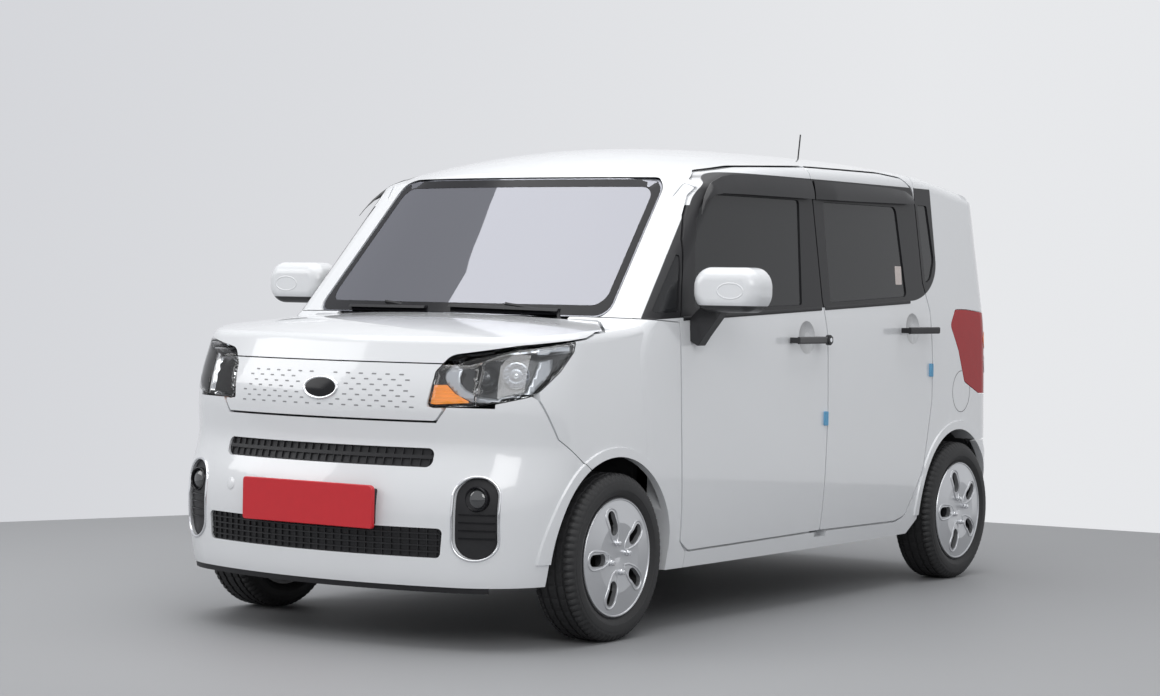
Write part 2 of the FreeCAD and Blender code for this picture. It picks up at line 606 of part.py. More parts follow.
def seat(x, width):
    # cushion and backrest between side bolsters, on a pedestal, with a headrest on its two posts
    outline = seat_side(890.0, 1370.0, 70.0, 1170.0, 430.0)
    middle = side_prism(outline, x - width / 2 + 70, x + width / 2 - 70)
    bolsters = side_prism(grown(outline, 16.0), x - width / 2, x + width / 2)
    bolsters = bolsters.cut(box(x - width / 2 + 70, x + width / 2 - 70, 800, 1700, 400, 1300))
    rest = side_prism(((1445, 1190, 20), (1438, 1330, 30), (1480, 1345, 20), (1516, 1320, 25), (1512, 1190, 20)),
                      x - 125, x + 125)
    posts = [Part.makeCylinder(7, 60, Vector(x + s * 60, 1480, 1150), Vector(0, 0, 1)) for s in (-1, 1)]
    base = side_prism(((940, 262), (960, 440), (1330, 440), (1360, 262)), x - width / 2 + 50, x + width / 2 - 50)
    return join([middle, bolsters, rest, base] + posts)


width = dim("seat_width")
keep("front_seats", Part.makeCompound([seat(330, width), seat(-330, width)]))
half = dim("bench_width") / 2.0
bench = [side_prism(seat_side(1880.0, 2300.0, 60.0, 1190.0, 421.0), -half, half)]
for s in (-1, 1):
    bench.append(side_prism(((2360, 1190, 20), (2356, 1310, 30), (2400, 1322, 20), (2432, 1300, 25), (2430, 1190, 20)),
                            s * 300 - 120, s * 300 + 120))
    for t in (-1, 1):
        bench.append(Part.makeCylinder(7, 60, Vector(s * 300 + t * 60, 2398, 1160), Vector(0, 0, 1)))
keep("rear_bench", join(bench))

# Mechanical parts under the floor.
engine = doc.addObject("Part::Box", "engine")
engine.setExpression("Length", "dims.engine_width")
engine.setExpression("Width", "dims.engine_length")
engine.setExpression("Height", "dims.engine_height")
engine.Label = "engine"
engine.Placement = FreeCAD.Placement(Vector(-260, -160 + SHIFT, 330), FreeCAD.Rotation())
nodes["engine"] = engine
tank = doc.addObject("Part::Box", "fuel_tank")
tank.setExpression("Length", "dims.tank_width")
tank.setExpression("Width", "dims.tank_length")
tank.setExpression("Height", "dims.tank_height")
tank.Label = "fuel_tank"
tank.Placement = FreeCAD.Placement(Vector(-460, 1915 + SHIFT, 240), FreeCAD.Rotation())
nodes["fuel_tank"] = tank

subframe = [box(-330, 330, 60, 200, 235, 285), box(-330, 330, -60, 0, 235, 275)]
for s in (-1, 1):
    subframe.append(box(min(s * 250, s * 330), max(s * 250, s * 330), -60, 200, 235, 280))
    subframe.append(top_prism(((s * 322, -60), (s * 322, 60), (s * 588, 14), (s * 588, -14)), 180, 204))
    subframe.append(box(min(s * 300, s * 340), max(s * 300, s * 340), -28, 28, 180, 240))
    subframe.append(box(min(s * 325, s * 430), max(s * 325, s * 430), 150, 190, 250, 420))
keep("front_subframe", join(subframe))
beam = [box(-520, 520, BASE - 330, BASE - 260, 225, 290)]
for s in (-1, 1):
    beam.append(box(min(s * 500, s * 542), max(s * 500, s * 542), BASE - 420, BASE + 70, 236, 296))
    beam.append(roll(min(s * 530, s * 692), BASE, HUB, 50, 162))
    beam.append(box(min(s * 425, s * 510), max(s * 425, s * 510), BASE - 240, BASE - 120, 262, 288))
    beam.append(Part.makeCylinder(44, 112, Vector(s * 466, BASE - 180, 280), Vector(0, 0, 1)))
keep("rear_axle", join(beam))
PIPE = dim("pipe_radius")
run = (Vector(140, 232, 300), Vector(140, 262, 200), Vector(140, 2330, 190), Vector(160, 2490, 300))
pipe = [Part.makeCylinder(dim("muffler_radius"), 340, Vector(160, 2480, 300), Vector(0, 1, 0)),
        Part.makeCylinder(PIPE, 120, Vector(180, 2790, 290), Vector(0, 0.7, -0.7))]
for a, b in zip(run, run[1:]):
    pipe.append(Part.makeCylinder(PIPE, b.sub(a).Length, a, b.sub(a)))
pipe += [Part.makeSphere(PIPE + 3.0, run[1]), Part.makeSphere(PIPE + 3.0, run[2])]
keep("exhaust", join(pipe))

# Steering wheel and column.
grip = dim("steering_rim")
section = [Vector(dim("steering_radius") + grip * math.cos(math.radians(a)), 0, grip * math.sin(math.radians(a)))
           for a in range(0, 360, 45)]
ring = Part.Face(Part.makePolygon(section + section[:1])).revolve(Vector(0, 0, 0), Vector(0, 0, 1), 360)
bossy = Part.makeCylinder(52, 40, Vector(0, 0, -50))
spokes = [box(-176, 176, -16, 16, -28, -12), box(-16, 16, -176, 0, -28, -12)]
shaft = Part.makeCylinder(18, 120, Vector(0, 0, -165))
wheel = join([ring, bossy, shaft] + spokes)
wheel.rotate(Vector(0, 0, 0), Vector(1, 0, 0), -(90.0 - dim("column_tilt")))
STEER = Vector(340, 790, 985)
keep("steering_wheel", wheel, STEER)

# Antenna on the roof.
mast = join([Part.makeCone(16, 9, 18, Vector(0, 2520, 1660), Vector(0, 0, 1)),
             Part.makeCylinder(3.0, 150, Vector(0, 2520, 1672), Vector(0, 0.17, 1))])
keep("antenna", mast.cut(join([OUTER, mirrored(OUTER)])))


# Wheels and tyres.
def plane_of(body, role):
    for feature in body.Origin.OriginFeatures:
        if feature.Role == role:
            return feature
    return None


def sketch_on(body, role, name):
    drawing = body.newObject("Sketcher::SketchObject", name)
    drawing.AttachmentSupport = [(plane_of(body, role), "")]
    drawing.MapMode = "FlatFace"
    return drawing


def trace(drawing, points):
    # closed outline; a point with three more values is an arc through a middle point
    count = len(points)
    for i in range(count):
        a = points[i]
        b = points[(i + 1) % count]
        start = Vector(a[0], a[1], 0)
        end = Vector(b[0], b[1], 0)
        if len(a) > 2:
            drawing.addGeometry(Part.Arc(start, Vector(a[2], a[3], 0), end), False)
        else:
            drawing.addGeometry(Part.LineSegment(start, end), False)


def turned(body, points, name):
    # outline of (sideways, radius) turned about the wheel's axle
    drawing = sketch_on(body, "XY_Plane", name + "_outline")
    trace(drawing, points)
    turn = body.newObject("PartDesign::Revolution", name)
    turn.Profile = drawing
    turn.ReferenceAxis = (drawing, ["H_Axis"])
    turn.Angle = 360
    return turn


def tyre(node, x, y, side):
    body = doc.addObject("PartDesign::Body", node)
    body.Label = node
    r = dim("tyre_radius")
    w = dim("tyre_width") / 2.0
    b = dim("bead_radius")
    e = dim("rim_radius") + 1.5
    outline = ((-61.4, b + 0.3), (-61.4, e), (-w, b + 48), (-w + 3, r - 22), (-w + 20, r), (w - 20, r), (w - 3, r - 22),
               (w, b + 48), (61.4, e), (61.4, b + 0.3))
    turned(body, outline, node + "_carcass")
    body.Placement = FreeCAD.Placement(Vector(x, y + SHIFT, HUB), FreeCAD.Rotation())
    nodes[node] = body


def rim(node, x, y, side):
    # steel wheel with its cover and the brake disc behind it; the cover is on the outer side
    body = doc.addObject("PartDesign::Body", node)
    body.Label = node
    b = dim("bead_radius")
    f = dim("rim_radius")
    s = side
    outline = ((s * 76, 0), (s * 84, 115), (s * 74, f), (s * 66, f), (s * 62, b), (s * 24, b - 16), (s * -24, b - 16),
               (s * -62, b), (s * -66, f), (s * -71, f), (s * -68, b - 8), (s * -26, b - 24), (s * 60, b - 22),
               (s * 68, 112), (s * 30, 66), (s * 10, 66), (s * 10, 118), (s * -8, 118), (s * -8, 0))
    turned(body, outline, node + "_disc")
    slot = sketch_on(body, "YZ_Plane", node + "_slot")
    c = -dim("slot_centre")
    l = dim("slot_length") / 2.0
    h = dim("slot_width") / 2.0
    trace(slot, ((c - l + h, -h), (c + l - h, -h, c + l, 0), (c + l - h, h), (c - l + h, h, c - l, 0)))
    cut = body.newObject("PartDesign::Pocket", node + "_opening")
    cut.Profile = slot
    cut.Type = 0
    cut.Length = 110.0
    cut.Reversed = s > 0
    doc.recompute()
    pattern = body.newObject("PartDesign::PolarPattern", node + "_openings")
    pattern.Originals = [cut]
    pattern.Axis = (slot, ["N_Axis"])
    pattern.Angle = 360
    pattern.Occurrences = 5
    body.Tip = pattern
    doc.recompute()
    body.Placement = FreeCAD.Placement(Vector(x, y + SHIFT, HUB), FreeCAD.Rotation())
    nodes[node] = body


for place, y, sign in (("front_left", 0.0, 1), ("front_right", 0.0, -1), ("rear_left", BASE, 1), ("rear_right", BASE, -1)):
    tyre("tyre_" + place, sign * TRACK, y, sign)
    rim("wheel_" + place, sign * TRACK, y, sign)


# Front uprights with their struts; each turns about the leaning steering axis.
def upright():
    parts = [Part.makeCylinder(50, 62, Vector(630, 0, HUB), Vector(1, 0, 0)),
             Part.makeCylinder(26, 500, Vector(636, 0, 290), Vector(-140, 0, 600)),
             Part.makeCylinder(20, 100, Vector(650, 0, 207), Vector(-18, 0, 77)),
             Part.makeCylinder(60, 130, Vector(552, 0, 600), Vector(-140, 0, 600)),
             Part.makeCylinder(72, 12, Vector(555, 0, 588), Vector(-140, 0, 600)),
             box(600, 660, -20, 20, 210, 340)]
    return join(parts)


knuckle = upright()
keep("knuckle_left", knuckle)
keep("knuckle_right", mirrored(knuckle))

doc.recompute()
for node, made in nodes.items():
    if "Invalid" in made.State or "Error" in made.State:
        raise RuntimeError("feature failed: " + node)
for feature in doc.Objects:
    if "Invalid" in feature.State or "Error" in feature.State:
        raise RuntimeError("feature failed: " + feature.Name)
for node, made in nodes.items():
    shape = made.Shape
    if shape.isNull() or not shape.isValid():
        raise RuntimeError("bad shape: " + node)
    shape.exportStep("parts/" + node + ".step")
print(len(nodes), "sub-parts")
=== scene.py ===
import json
import math
import bpy
import bmesh
import numpy as np
from mathutils import Matrix, Vector
from mathutils.bvhtree import BVHTree
from mathutils.geometry import delaunay_2d_cdt

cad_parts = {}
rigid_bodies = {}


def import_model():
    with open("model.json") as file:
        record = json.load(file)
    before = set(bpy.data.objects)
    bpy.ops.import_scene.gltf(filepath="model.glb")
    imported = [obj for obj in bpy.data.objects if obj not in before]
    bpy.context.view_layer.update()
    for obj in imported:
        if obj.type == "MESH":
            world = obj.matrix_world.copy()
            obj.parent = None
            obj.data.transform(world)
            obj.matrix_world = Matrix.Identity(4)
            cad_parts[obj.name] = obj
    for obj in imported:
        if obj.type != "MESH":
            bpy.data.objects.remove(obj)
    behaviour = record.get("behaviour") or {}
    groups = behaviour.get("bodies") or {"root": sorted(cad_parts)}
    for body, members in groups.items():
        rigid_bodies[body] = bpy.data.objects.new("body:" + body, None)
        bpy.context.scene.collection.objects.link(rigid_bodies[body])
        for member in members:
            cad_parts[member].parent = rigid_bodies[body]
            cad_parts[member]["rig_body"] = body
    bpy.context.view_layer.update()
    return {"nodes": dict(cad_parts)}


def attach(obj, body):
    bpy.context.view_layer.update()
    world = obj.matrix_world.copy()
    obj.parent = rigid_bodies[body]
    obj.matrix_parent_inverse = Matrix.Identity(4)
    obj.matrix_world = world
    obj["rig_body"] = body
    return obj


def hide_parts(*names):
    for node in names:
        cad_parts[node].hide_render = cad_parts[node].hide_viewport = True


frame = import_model()
NODES = frame["nodes"]

# Driving places in metres. Lengths run from the front axle, and SHIFT carries them into the row frame.
SHIFT = -1.1575
WHEELBASE = 2.52
WHEEL_X, WHEEL_Z = 0.705, 0.277
BELT_SLOPE = 0.0375

# Colours
WHITE = (0.80, 0.815, 0.835)
BLACK_TRIM = (0.018, 0.018, 0.020)
SILVER = (0.58, 0.59, 0.61)


# Material helpers
def new_material(name):
    m = bpy.data.materials.new(name)
    m.use_nodes = True
    tree = m.node_tree
    return m, tree, tree.nodes["Principled BSDF"]


def wire(tree, a, b):
    tree.links.new(a, b)


def math_node(tree, op, a, b=None, c=None):
    node = tree.nodes.new("ShaderNodeMath")
    node.operation = op
    for i, v in enumerate((a, b, c)):
        if v is None:
            continue
        if isinstance(v, (int, float)):
            node.inputs[i].default_value = v
        else:
            wire(tree, v, node.inputs[i])
    return node.outputs[0]


def mix_colour(tree, fac, a, b):
    node = tree.nodes.new("ShaderNodeMix")
    node.data_type = "RGBA"
    wire(tree, fac, node.inputs["Factor"])
    ins = [s for s in node.inputs if s.type == "RGBA"]
    for s, v in zip(ins, (a, b)):
        if isinstance(v, (tuple, list)):
            s.default_value = (*v[:3], 1.0)
        else:
            wire(tree, v, s)
    return [s for s in node.outputs if s.type == "RGBA"][0]


def mix_value(tree, fac, a, b):
    node = tree.nodes.new("ShaderNodeMapRange")
    wire(tree, fac, node.inputs["Value"])
    node.inputs["To Min"].default_value = a
    node.inputs["To Max"].default_value = b
    return node.outputs[0]


def mix_shaders(tree, fac, a, b, output):
    """Two shaders mixed by a factor, into the surface of an output node."""
    mix = tree.nodes.new("ShaderNodeMixShader")
    wire(tree, fac, mix.inputs[0])
    wire(tree, a.outputs[0], mix.inputs[1])
    wire(tree, b.outputs[0], mix.inputs[2])
    wire(tree, mix.outputs[0], tree.nodes[output].inputs["Surface"])


def coords(tree):
    return tree.nodes.new("ShaderNodeTexCoord").outputs["Object"]


def axes(tree):
    """The three object coordinates of the shaded point."""
    sep = tree.nodes.new("ShaderNodeSeparateXYZ")
    wire(tree, coords(tree), sep.inputs[0])
    return sep.outputs


def noise(tree, scale, detail=3.0):
    node = tree.nodes.new("ShaderNodeTexNoise")
    node.inputs["Scale"].default_value = scale
    node.inputs["Detail"].default_value = detail
    node.inputs["Roughness"].default_value = 0.5
    wire(tree, coords(tree), node.inputs["Vector"])
    return node.outputs["Fac"]


def shade(colour, factor):
    return tuple(c * factor for c in colour)


def bump(tree, shader, height, strength, distance=0.0004):
    node = tree.nodes.new("ShaderNodeBump")
    node.inputs["Strength"].default_value = strength
    node.inputs["Distance"].default_value = distance
    wire(tree, height, node.inputs["Height"])
    wire(tree, node.outputs[0], shader.inputs["Normal"])


def step_at(tree, value, edge, width=0.0008):
    """0 below the edge, 1 above it, with a thin soft border."""
    node = tree.nodes.new("ShaderNodeMapRange")
    wire(tree, value, node.inputs["Value"])
    node.inputs["From Min"].default_value = edge - width
    node.inputs["From Max"].default_value = edge + width
    return node.outputs[0]


def under(tree, value, edge):
    return math_node(tree, "SUBTRACT", 1.0, step_at(tree, value, edge))


def finish_surface(name, colour, rough, metallic=0.0, spread=0.04, scale=30.0, grain=0.0, grain_scale=900.0,
                   coat=0.0, specular=0.5, rough_spread=0.06):
    """A plain finish with a little colour drift, uneven gloss and a fine grain."""
    m, tree, shader = new_material(name)
    light = tuple(min(1.0, c) for c in shade(colour, 1.0 + spread))
    drift = mix_colour(tree, noise(tree, scale), shade(colour, 1.0 - spread), light)
    wire(tree, drift, shader.inputs["Base Color"])
    uneven = mix_value(tree, noise(tree, scale * 3.1), max(0.02, rough - rough_spread), rough + rough_spread)
    wire(tree, uneven, shader.inputs["Roughness"])
    shader.inputs["Metallic"].default_value = metallic
    shader.inputs["Specular IOR Level"].default_value = specular
    shader.inputs["Coat Weight"].default_value = coat
    shader.inputs["Coat Roughness"].default_value = 0.04
    if grain > 0:
        bump(tree, shader, noise(tree, grain_scale, 2.0), grain)
    return m


def distance_in_side(tree, y, z, centre_y, centre_z):
    """How far a place (y, z) lies from a centre, seen from the side."""
    far = tree.nodes.new("ShaderNodeVectorMath")
    far.operation = "DISTANCE"
    place = tree.nodes.new("ShaderNodeCombineXYZ")
    wire(tree, y, place.inputs[1])
    wire(tree, z, place.inputs[2])
    wire(tree, place.outputs[0], far.inputs[0])
    far.inputs[1].default_value = (0.0, centre_y, centre_z)
    return far.outputs["Value"]


def greenhouse_paint(name):
    """Body paint with the blacked-out window area, split by height and length on the side of the car."""
    top_line = 1.576
    bend_y, bend_z, bend_radius = 0.800, 1.2564, 0.3196
    corner_y, corner_z, corner_height, corner_squeeze = 2.080, 1.292, 0.166, 0.593
    m, tree, shader = new_material(name)
    place = axes(tree)
    y, z = math_node(tree, "SUBTRACT", place[1], SHIFT), place[2]
    belt_line = math_node(tree, "MULTIPLY_ADD", y, BELT_SLOPE, 1.048)
    pillar_line = math_node(tree, "MULTIPLY_ADD", z, 0.9061, -0.7744)
    low = math_node(tree, "SUBTRACT", math_node(tree, "MINIMUM", z, corner_z), corner_z)
    low = math_node(tree, "MULTIPLY", low, step_at(tree, y, corner_y))
    past = math_node(tree, "SUBTRACT", math_node(tree, "MAXIMUM", y, corner_y), corner_y)
    corner = distance_in_side(tree, math_node(tree, "MULTIPLY", past, corner_squeeze), low, 0.0, 0.0)
    bend = distance_in_side(tree, math_node(tree, "MINIMUM", y, bend_y), z, bend_y, bend_z)
    bend = math_node(tree, "MULTIPLY", bend, step_at(tree, z, 1.45))
    mask = step_at(tree, math_node(tree, "SUBTRACT", z, belt_line), 0.0)
    for part in (under(tree, z, top_line), step_at(tree, math_node(tree, "SUBTRACT", y, pillar_line), 0.0),
                 under(tree, corner, corner_height), under(tree, bend, bend_radius)):
        mask = math_node(tree, "MULTIPLY", mask, part)
    white = mix_colour(tree, noise(tree, 3.0), shade(WHITE, 0.988), shade(WHITE, 1.012))
    wire(tree, mix_colour(tree, mask, white, BLACK_TRIM), shader.inputs["Base Color"])
    wire(tree, mix_value(tree, mask, 0.22, 0.42), shader.inputs["Roughness"])
    wire(tree, mix_value(tree, mask, 0.9, 0.05), shader.inputs["Coat Weight"])
    wire(tree, mix_value(tree, mask, 0.5, 0.28), shader.inputs["Specular IOR Level"])
    shader.inputs["Coat Roughness"].default_value = 0.04
    bump(tree, shader, noise(tree, 2200.0, 2.0), 0.012)
    return m


def dark_glass_pane(name, tint, alpha, specular):
    m, tree, shader = new_material(name)
    wire(tree, mix_colour(tree, noise(tree, 4.0), shade(tint, 0.9), tint), shader.inputs["Base Color"])
    wire(tree, mix_value(tree, noise(tree, 11.0), 0.015, 0.035), shader.inputs["Roughness"])
    shader.inputs["IOR"].default_value = 1.5
    shader.inputs["Specular IOR Level"].default_value = specular
    shader.inputs["Alpha"].default_value = alpha
    return m


def clear_glass(name, through, level, rise, shine=(0.86, 0.87, 0.95)):
    """Thin glass: what is behind it, tinted, under a reflection that grows towards the edges."""
    m, tree, shader = new_material(name)
    tree.nodes.remove(shader)
    clear = tree.nodes.new("ShaderNodeBsdfTransparent")
    wire(tree, mix_colour(tree, noise(tree, 3.0), shade(through, 0.96), through), clear.inputs["Color"])
    gloss = tree.nodes.new("ShaderNodeBsdfGlossy")
    gloss.inputs["Color"].default_value = (*shine, 1)
    wire(tree, mix_value(tree, noise(tree, 7.0), 0.010, 0.030), gloss.inputs["Roughness"])
    edge = tree.nodes.new("ShaderNodeFresnel")
    edge.inputs["IOR"].default_value = 1.5
    share = math_node(tree, "MULTIPLY_ADD", edge.outputs[0], rise, level)
    mix_shaders(tree, math_node(tree, "MINIMUM", share, 1.0), clear, gloss, "Material Output")
    return m


def split_paint(name, mask_of, upper, upper_rough, upper_metal, lower, lower_rough):
    """One finish where the mask is 1, another where it is 0."""
    m, tree, shader = new_material(name)
    mask = mask_of(tree, axes(tree))
    drift = mix_colour(tree, noise(tree, 5.0), shade(upper, 0.985), upper)
    wire(tree, mix_colour(tree, mask, lower, drift), shader.inputs["Base Color"])
    wire(tree, mix_value(tree, mask, lower_rough, upper_rough), shader.inputs["Roughness"])
    wire(tree, mix_value(tree, mask, 0.1, upper_metal), shader.inputs["Metallic"])
    shader.inputs["Coat Weight"].default_value = 0.4
    shader.inputs["Coat Roughness"].default_value = 0.05
    bump(tree, shader, noise(tree, 1800.0, 2.0), 0.03)
    return m


def mirror_cap(tree, place):
    """The white upper cap of a door mirror."""
    return math_node(tree, "MULTIPLY", step_at(tree, place[2], 1.107), under(tree, place[1], 0.60 + SHIFT))


def wheel_face(tree, place):
    """The outer face of a wheel."""
    return step_at(tree, math_node(tree, "ABSOLUTE", place[0]), 0.770)


def dish_paint(name, y, z, radius):
    """Body paint shaded as a shallow dish round one point of the side, its colour a little darker than the
    body paint as painted shade in the cup.
    """
    m, tree, shader = new_material(name)
    place = axes(tree)
    a = math_node(tree, "SUBTRACT", place[1], y + SHIFT)
    b = math_node(tree, "SUBTRACT", place[2], z)
    squares = math_node(tree, "ADD", math_node(tree, "MULTIPLY", a, a), math_node(tree, "MULTIPLY", b, b))
    share = math_node(tree, "DIVIDE", math_node(tree, "SQRT", squares), radius)
    share = math_node(tree, "MINIMUM", share, 1.0)
    # Painted shade: the cup's colour is a little darker than the body paint.
    wire(tree, mix_colour(tree, noise(tree, 3.0), shade(WHITE, 0.95), shade(WHITE, 0.97)),
         shader.inputs["Base Color"])
    wire(tree, mix_value(tree, share, 0.30, 0.22), shader.inputs["Roughness"])
    shader.inputs["Coat Weight"].default_value = 0.6
    bump(tree, shader, math_node(tree, "POWER", share, 2.5), 0.9, 0.030)
    return m


# Finishes
paint = finish_surface("pearl_paint", WHITE, 0.22, spread=0.012, scale=3.0, grain=0.012, grain_scale=2200.0,
                       coat=0.9)
trim_black = finish_surface("moulded_black", BLACK_TRIM, 0.48, spread=0.25, grain=0.35, grain_scale=1500.0,
                            specular=0.32)
gloss_black = finish_surface("gloss_black", (0.010, 0.010, 0.012), 0.18, spread=0.2, specular=0.22)
chrome = finish_surface("bright_trim", (0.80, 0.81, 0.83), 0.10, metallic=1.0, spread=0.03, rough_spread=0.03)
silver = finish_surface("cover_silver", SILVER, 0.30, metallic=0.75, spread=0.03, grain=0.03,
                        grain_scale=3000.0, coat=0.3)
steel = finish_surface("bare_steel", (0.34, 0.33, 0.32), 0.45, metallic=0.9, spread=0.15, scale=18.0)
dark_steel = finish_surface("underbody", (0.045, 0.046, 0.048), 0.65, metallic=0.2, spread=0.3, scale=9.0,
                            grain=0.3, grain_scale=400.0)
red = finish_surface("plate_red", (0.62, 0.015, 0.025), 0.38, spread=0.05, coat=0.2)
side_paint = greenhouse_paint("side_paint")
tinted = dark_glass_pane("tinted_glass", (0.026, 0.027, 0.029), 0.94, 0.34)
screen_glass = clear_glass("screen_glass", (0.50, 0.53, 0.54), 0.24, 0.8)
lens = clear_glass("lamp_lens", (0.93, 0.94, 0.95), 0.0, 1.0, (1.0, 1.0, 1.0))
rubber = finish_surface("rubber", (0.020, 0.020, 0.021), 0.62, spread=0.25, scale=60.0, grain=0.25,
                        grain_scale=700.0)
cloth = finish_surface("seat_cloth", (0.060, 0.060, 0.064), 0.85, spread=0.3, scale=400.0, grain=0.6,
                       grain_scale=900.0)
dash_plastic = finish_surface("dash_plastic", (0.050, 0.050, 0.054), 0.60, spread=0.12, grain=0.4,
                              grain_scale=1100.0)
red_lens = finish_surface("red_lens", (0.42, 0.006, 0.010), 0.16, spread=0.08, specular=0.15)
mirror_paint = split_paint("mirror_paint", mirror_cap, WHITE, 0.22, 0.0, BLACK_TRIM, 0.45)
wheel_paint = split_paint("wheel_paint", wheel_face, SILVER, 0.30, 0.72, (0.03, 0.03, 0.032), 0.55)

# The finish of a node is that of the longest name it starts with, unless its ending says otherwise.
LOOK = {
    "side_frame": side_paint, "front_door": side_paint, "rear_door": side_paint, "sliding_door": side_paint,
    "roof_panel": paint, "tailgate": paint, "bonnet": paint, "front_bumper": paint, "front_fenders": paint,
    "rear_bumper": paint, "headlamps": lens, "tail_lamps": red_lens, "front_grilles": trim_black,
    "platform": dark_steel, "bulkhead": dark_steel, "radiator_support": dark_steel, "cowl": trim_black,
    "wipers": trim_black, "dashboard": dash_plastic, "front_seats": cloth, "rear_bench": cloth,
    "engine": steel, "fuel_tank": dark_steel, "front_subframe": dark_steel, "rear_axle": dark_steel,
    "exhaust": steel, "steering_wheel": dash_plastic, "antenna": trim_black, "knuckle": dark_steel,
    "wheel_": wheel_paint, "tyre_": rubber, "windscreen": screen_glass,
}
ENDINGS = {"_glass": tinted, "_handle": trim_black, "_trim": mirror_paint}
for node_name, obj in NODES.items():
    starts = [key for key in LOOK if node_name.startswith(key)]
    look = LOOK[max(starts, key=len)] if starts else paint
    for ending, finish in ENDINGS.items():
        if node_name.endswith(ending):
            look = finish
    obj.data.materials.clear()
    obj.data.materials.append(look)
    for poly in obj.data.polygons:
        poly.material_index = 0


# Places, sight lines and outlines
def fa(x, y, z):
    """A point given from the front axle, in the row frame."""
    return Vector((x, y + SHIFT, z))


def surface_of(*names):
    verts, polys = [], []
    for name in names:
        mesh = NODES[name].data
        base = len(verts)
        verts += [v.co.copy() for v in mesh.vertices]
        polys += [[base + i for i in p.vertices] for p in mesh.polygons]
    return BVHTree.FromPolygons(verts, polys)


def looking(angle):
    """Parallel sight lines at a compass angle: 0 looks along +Y, 90 along -X."""
    a = math.radians(angle)
    across = Vector((math.cos(a), math.sin(a), 0.0))
    into = Vector((-math.sin(a), math.cos(a), 0.0))

    def shoot(u, v):
        return fa(0, 0, v) + across * u - into * 6.0, into
    return shoot


FRONT, LEFT, REAR, LAMP_EYE = looking(0), looking(90), looking(180), looking(36)


def meet(tree, shoot, u, v):
    """Where the sight line meets the surface, and the surface's normal towards the viewer."""
    start, into = shoot(u, v)
    spot, normal, index, dist = tree.ray_cast(start, into)
    if spot is None:
        spot, normal, index, dist = tree.find_nearest(start + into * 6.0)
        spot = start + into * (spot - start).dot(into)
    if normal.dot(into) > 0:
        normal = -normal
    return spot, normal, into


def rounded(points, steps=6):
    """Outline with its corners rounded; a point is (u, v) or (u, v, radius)."""
    out = []
    count = len(points)
    for i, p in enumerate(points):
        r = p[2] if len(p) > 2 else 0.0
        here = Vector(p[:2])
        if r <= 0:
            out.append(here)
            continue
        a = Vector(points[i - 1][:2]) - here
        b = Vector(points[(i + 1) % count][:2]) - here
        half = a.angle(b) / 2.0
        run = min(r / math.tan(half), 0.48 * a.length, 0.48 * b.length)
        r = run * math.tan(half)
        centre = here + (a.normalized() + b.normalized()).normalized() * (r / math.sin(half))
        s = here + a.normalized() * run - centre
        turn = s.angle_signed(here + b.normalized() * run - centre)
        for k in range(steps + 1):
            w = -turn * k / steps
            c, d = math.cos(w), math.sin(w)
            out.append(centre + Vector((s.x * c - s.y * d, s.x * d + s.y * c)))
    return out


def rounded_box(u0, v0, u1, v1, radius, steps):
    return rounded(((u0, v0, radius), (u1, v0, radius), (u1, v1, radius), (u0, v1, radius)), steps)


def rounded_pane(half_low, low, half_high, high, radius_low, radius_high):
    """Outline of a window that is as wide on both sides of the middle."""
    return rounded(((-half_low, low, radius_low), (half_low, low, radius_low), (half_high, high, radius_high),
                    (-half_high, high, radius_high)), 6)


def ellipse(cu, cv, ru, rv, count=40):
    turns = [2 * math.pi * i / count for i in range(count)]
    return [Vector((cu + ru * math.cos(w), cv + rv * math.sin(w))) for w in turns]


def dense(points, step, closed=True):
    out = []
    count = len(points)
    for i in range(count if closed else count - 1):
        a, b = points[i], points[(i + 1) % count]
        n = max(1, int((b - a).length / step))
        out += [a.lerp(b, k / n) for k in range(n)]
    if not closed:
        out.append(points[-1].copy())
    return out


def inside(point, loops):
    hit = False
    for ring in loops:
        count = len(ring)
        for i in range(count):
            a, b = ring[i], ring[(i + 1) % count]
            if (a.y > point.y) != (b.y > point.y):
                if point.x < (b.x - a.x) * (point.y - a.y) / (b.y - a.y) + a.x:
                    hit = not hit
    return hit


def filled(loops, step):
    """Triangles filling the first loop less the others, with a grid of points inside."""
    pts, edges = [], []
    for ring in loops:
        base = len(pts)
        pts += [Vector(p[:2]) for p in ring]
        edges += [(base + i, base + (i + 1) % len(ring)) for i in range(len(ring))]
    rim = list(pts)
    us = [p.x for p in rim]
    vs = [p.y for p in rim]
    u = min(us) + step / 2
    while u < max(us):
        v = min(vs) + step / 2
        while v < max(vs):
            q = Vector((u, v))
            if inside(q, loops) and min((q - r).length for r in rim) > step * 0.45:
                pts.append(q)
            v += step
        u += step
    verts, e, faces, *rest = delaunay_2d_cdt(pts, edges, [], 0, 1e-7)
    keep = []
    for f in faces:
        a, b, d = (verts[i] for i in f[:3])
        area = (b - a).cross(d - a)
        if inside((a + b + d) / 3.0, loops) and abs(area) > 1e-12:
            keep.append(f if area > 0 else f[::-1])
    return verts, keep


def traced(tree, shoot, points, lift=0.0):
    spots, normals = [], []
    for p in points:
        spot, normal, into = meet(tree, shoot, p[0], p[1])
        spots.append(spot + normal * lift)
        normals.append(normal)
    return spots, normals


def traced_line(tree, shoot, a, b, step=0.03, lift=0.0):
    """A straight line between two places of the view, laid on a surface."""
    return traced(tree, shoot, dense([Vector(a), Vector(b)], step, closed=False), lift)


# Mesh pieces
def linked(name, data):
    """A new object in the scene."""
    obj = bpy.data.objects.new(name, data)
    bpy.context.scene.collection.objects.link(obj)
    return obj


def smooth(mesh, sharp):
    """Smooth shading, but for edges sharper than an angle in degrees."""
    for poly in mesh.polygons:
        poly.use_smooth = True
    mesh.set_sharp_from_angle(angle=math.radians(sharp))


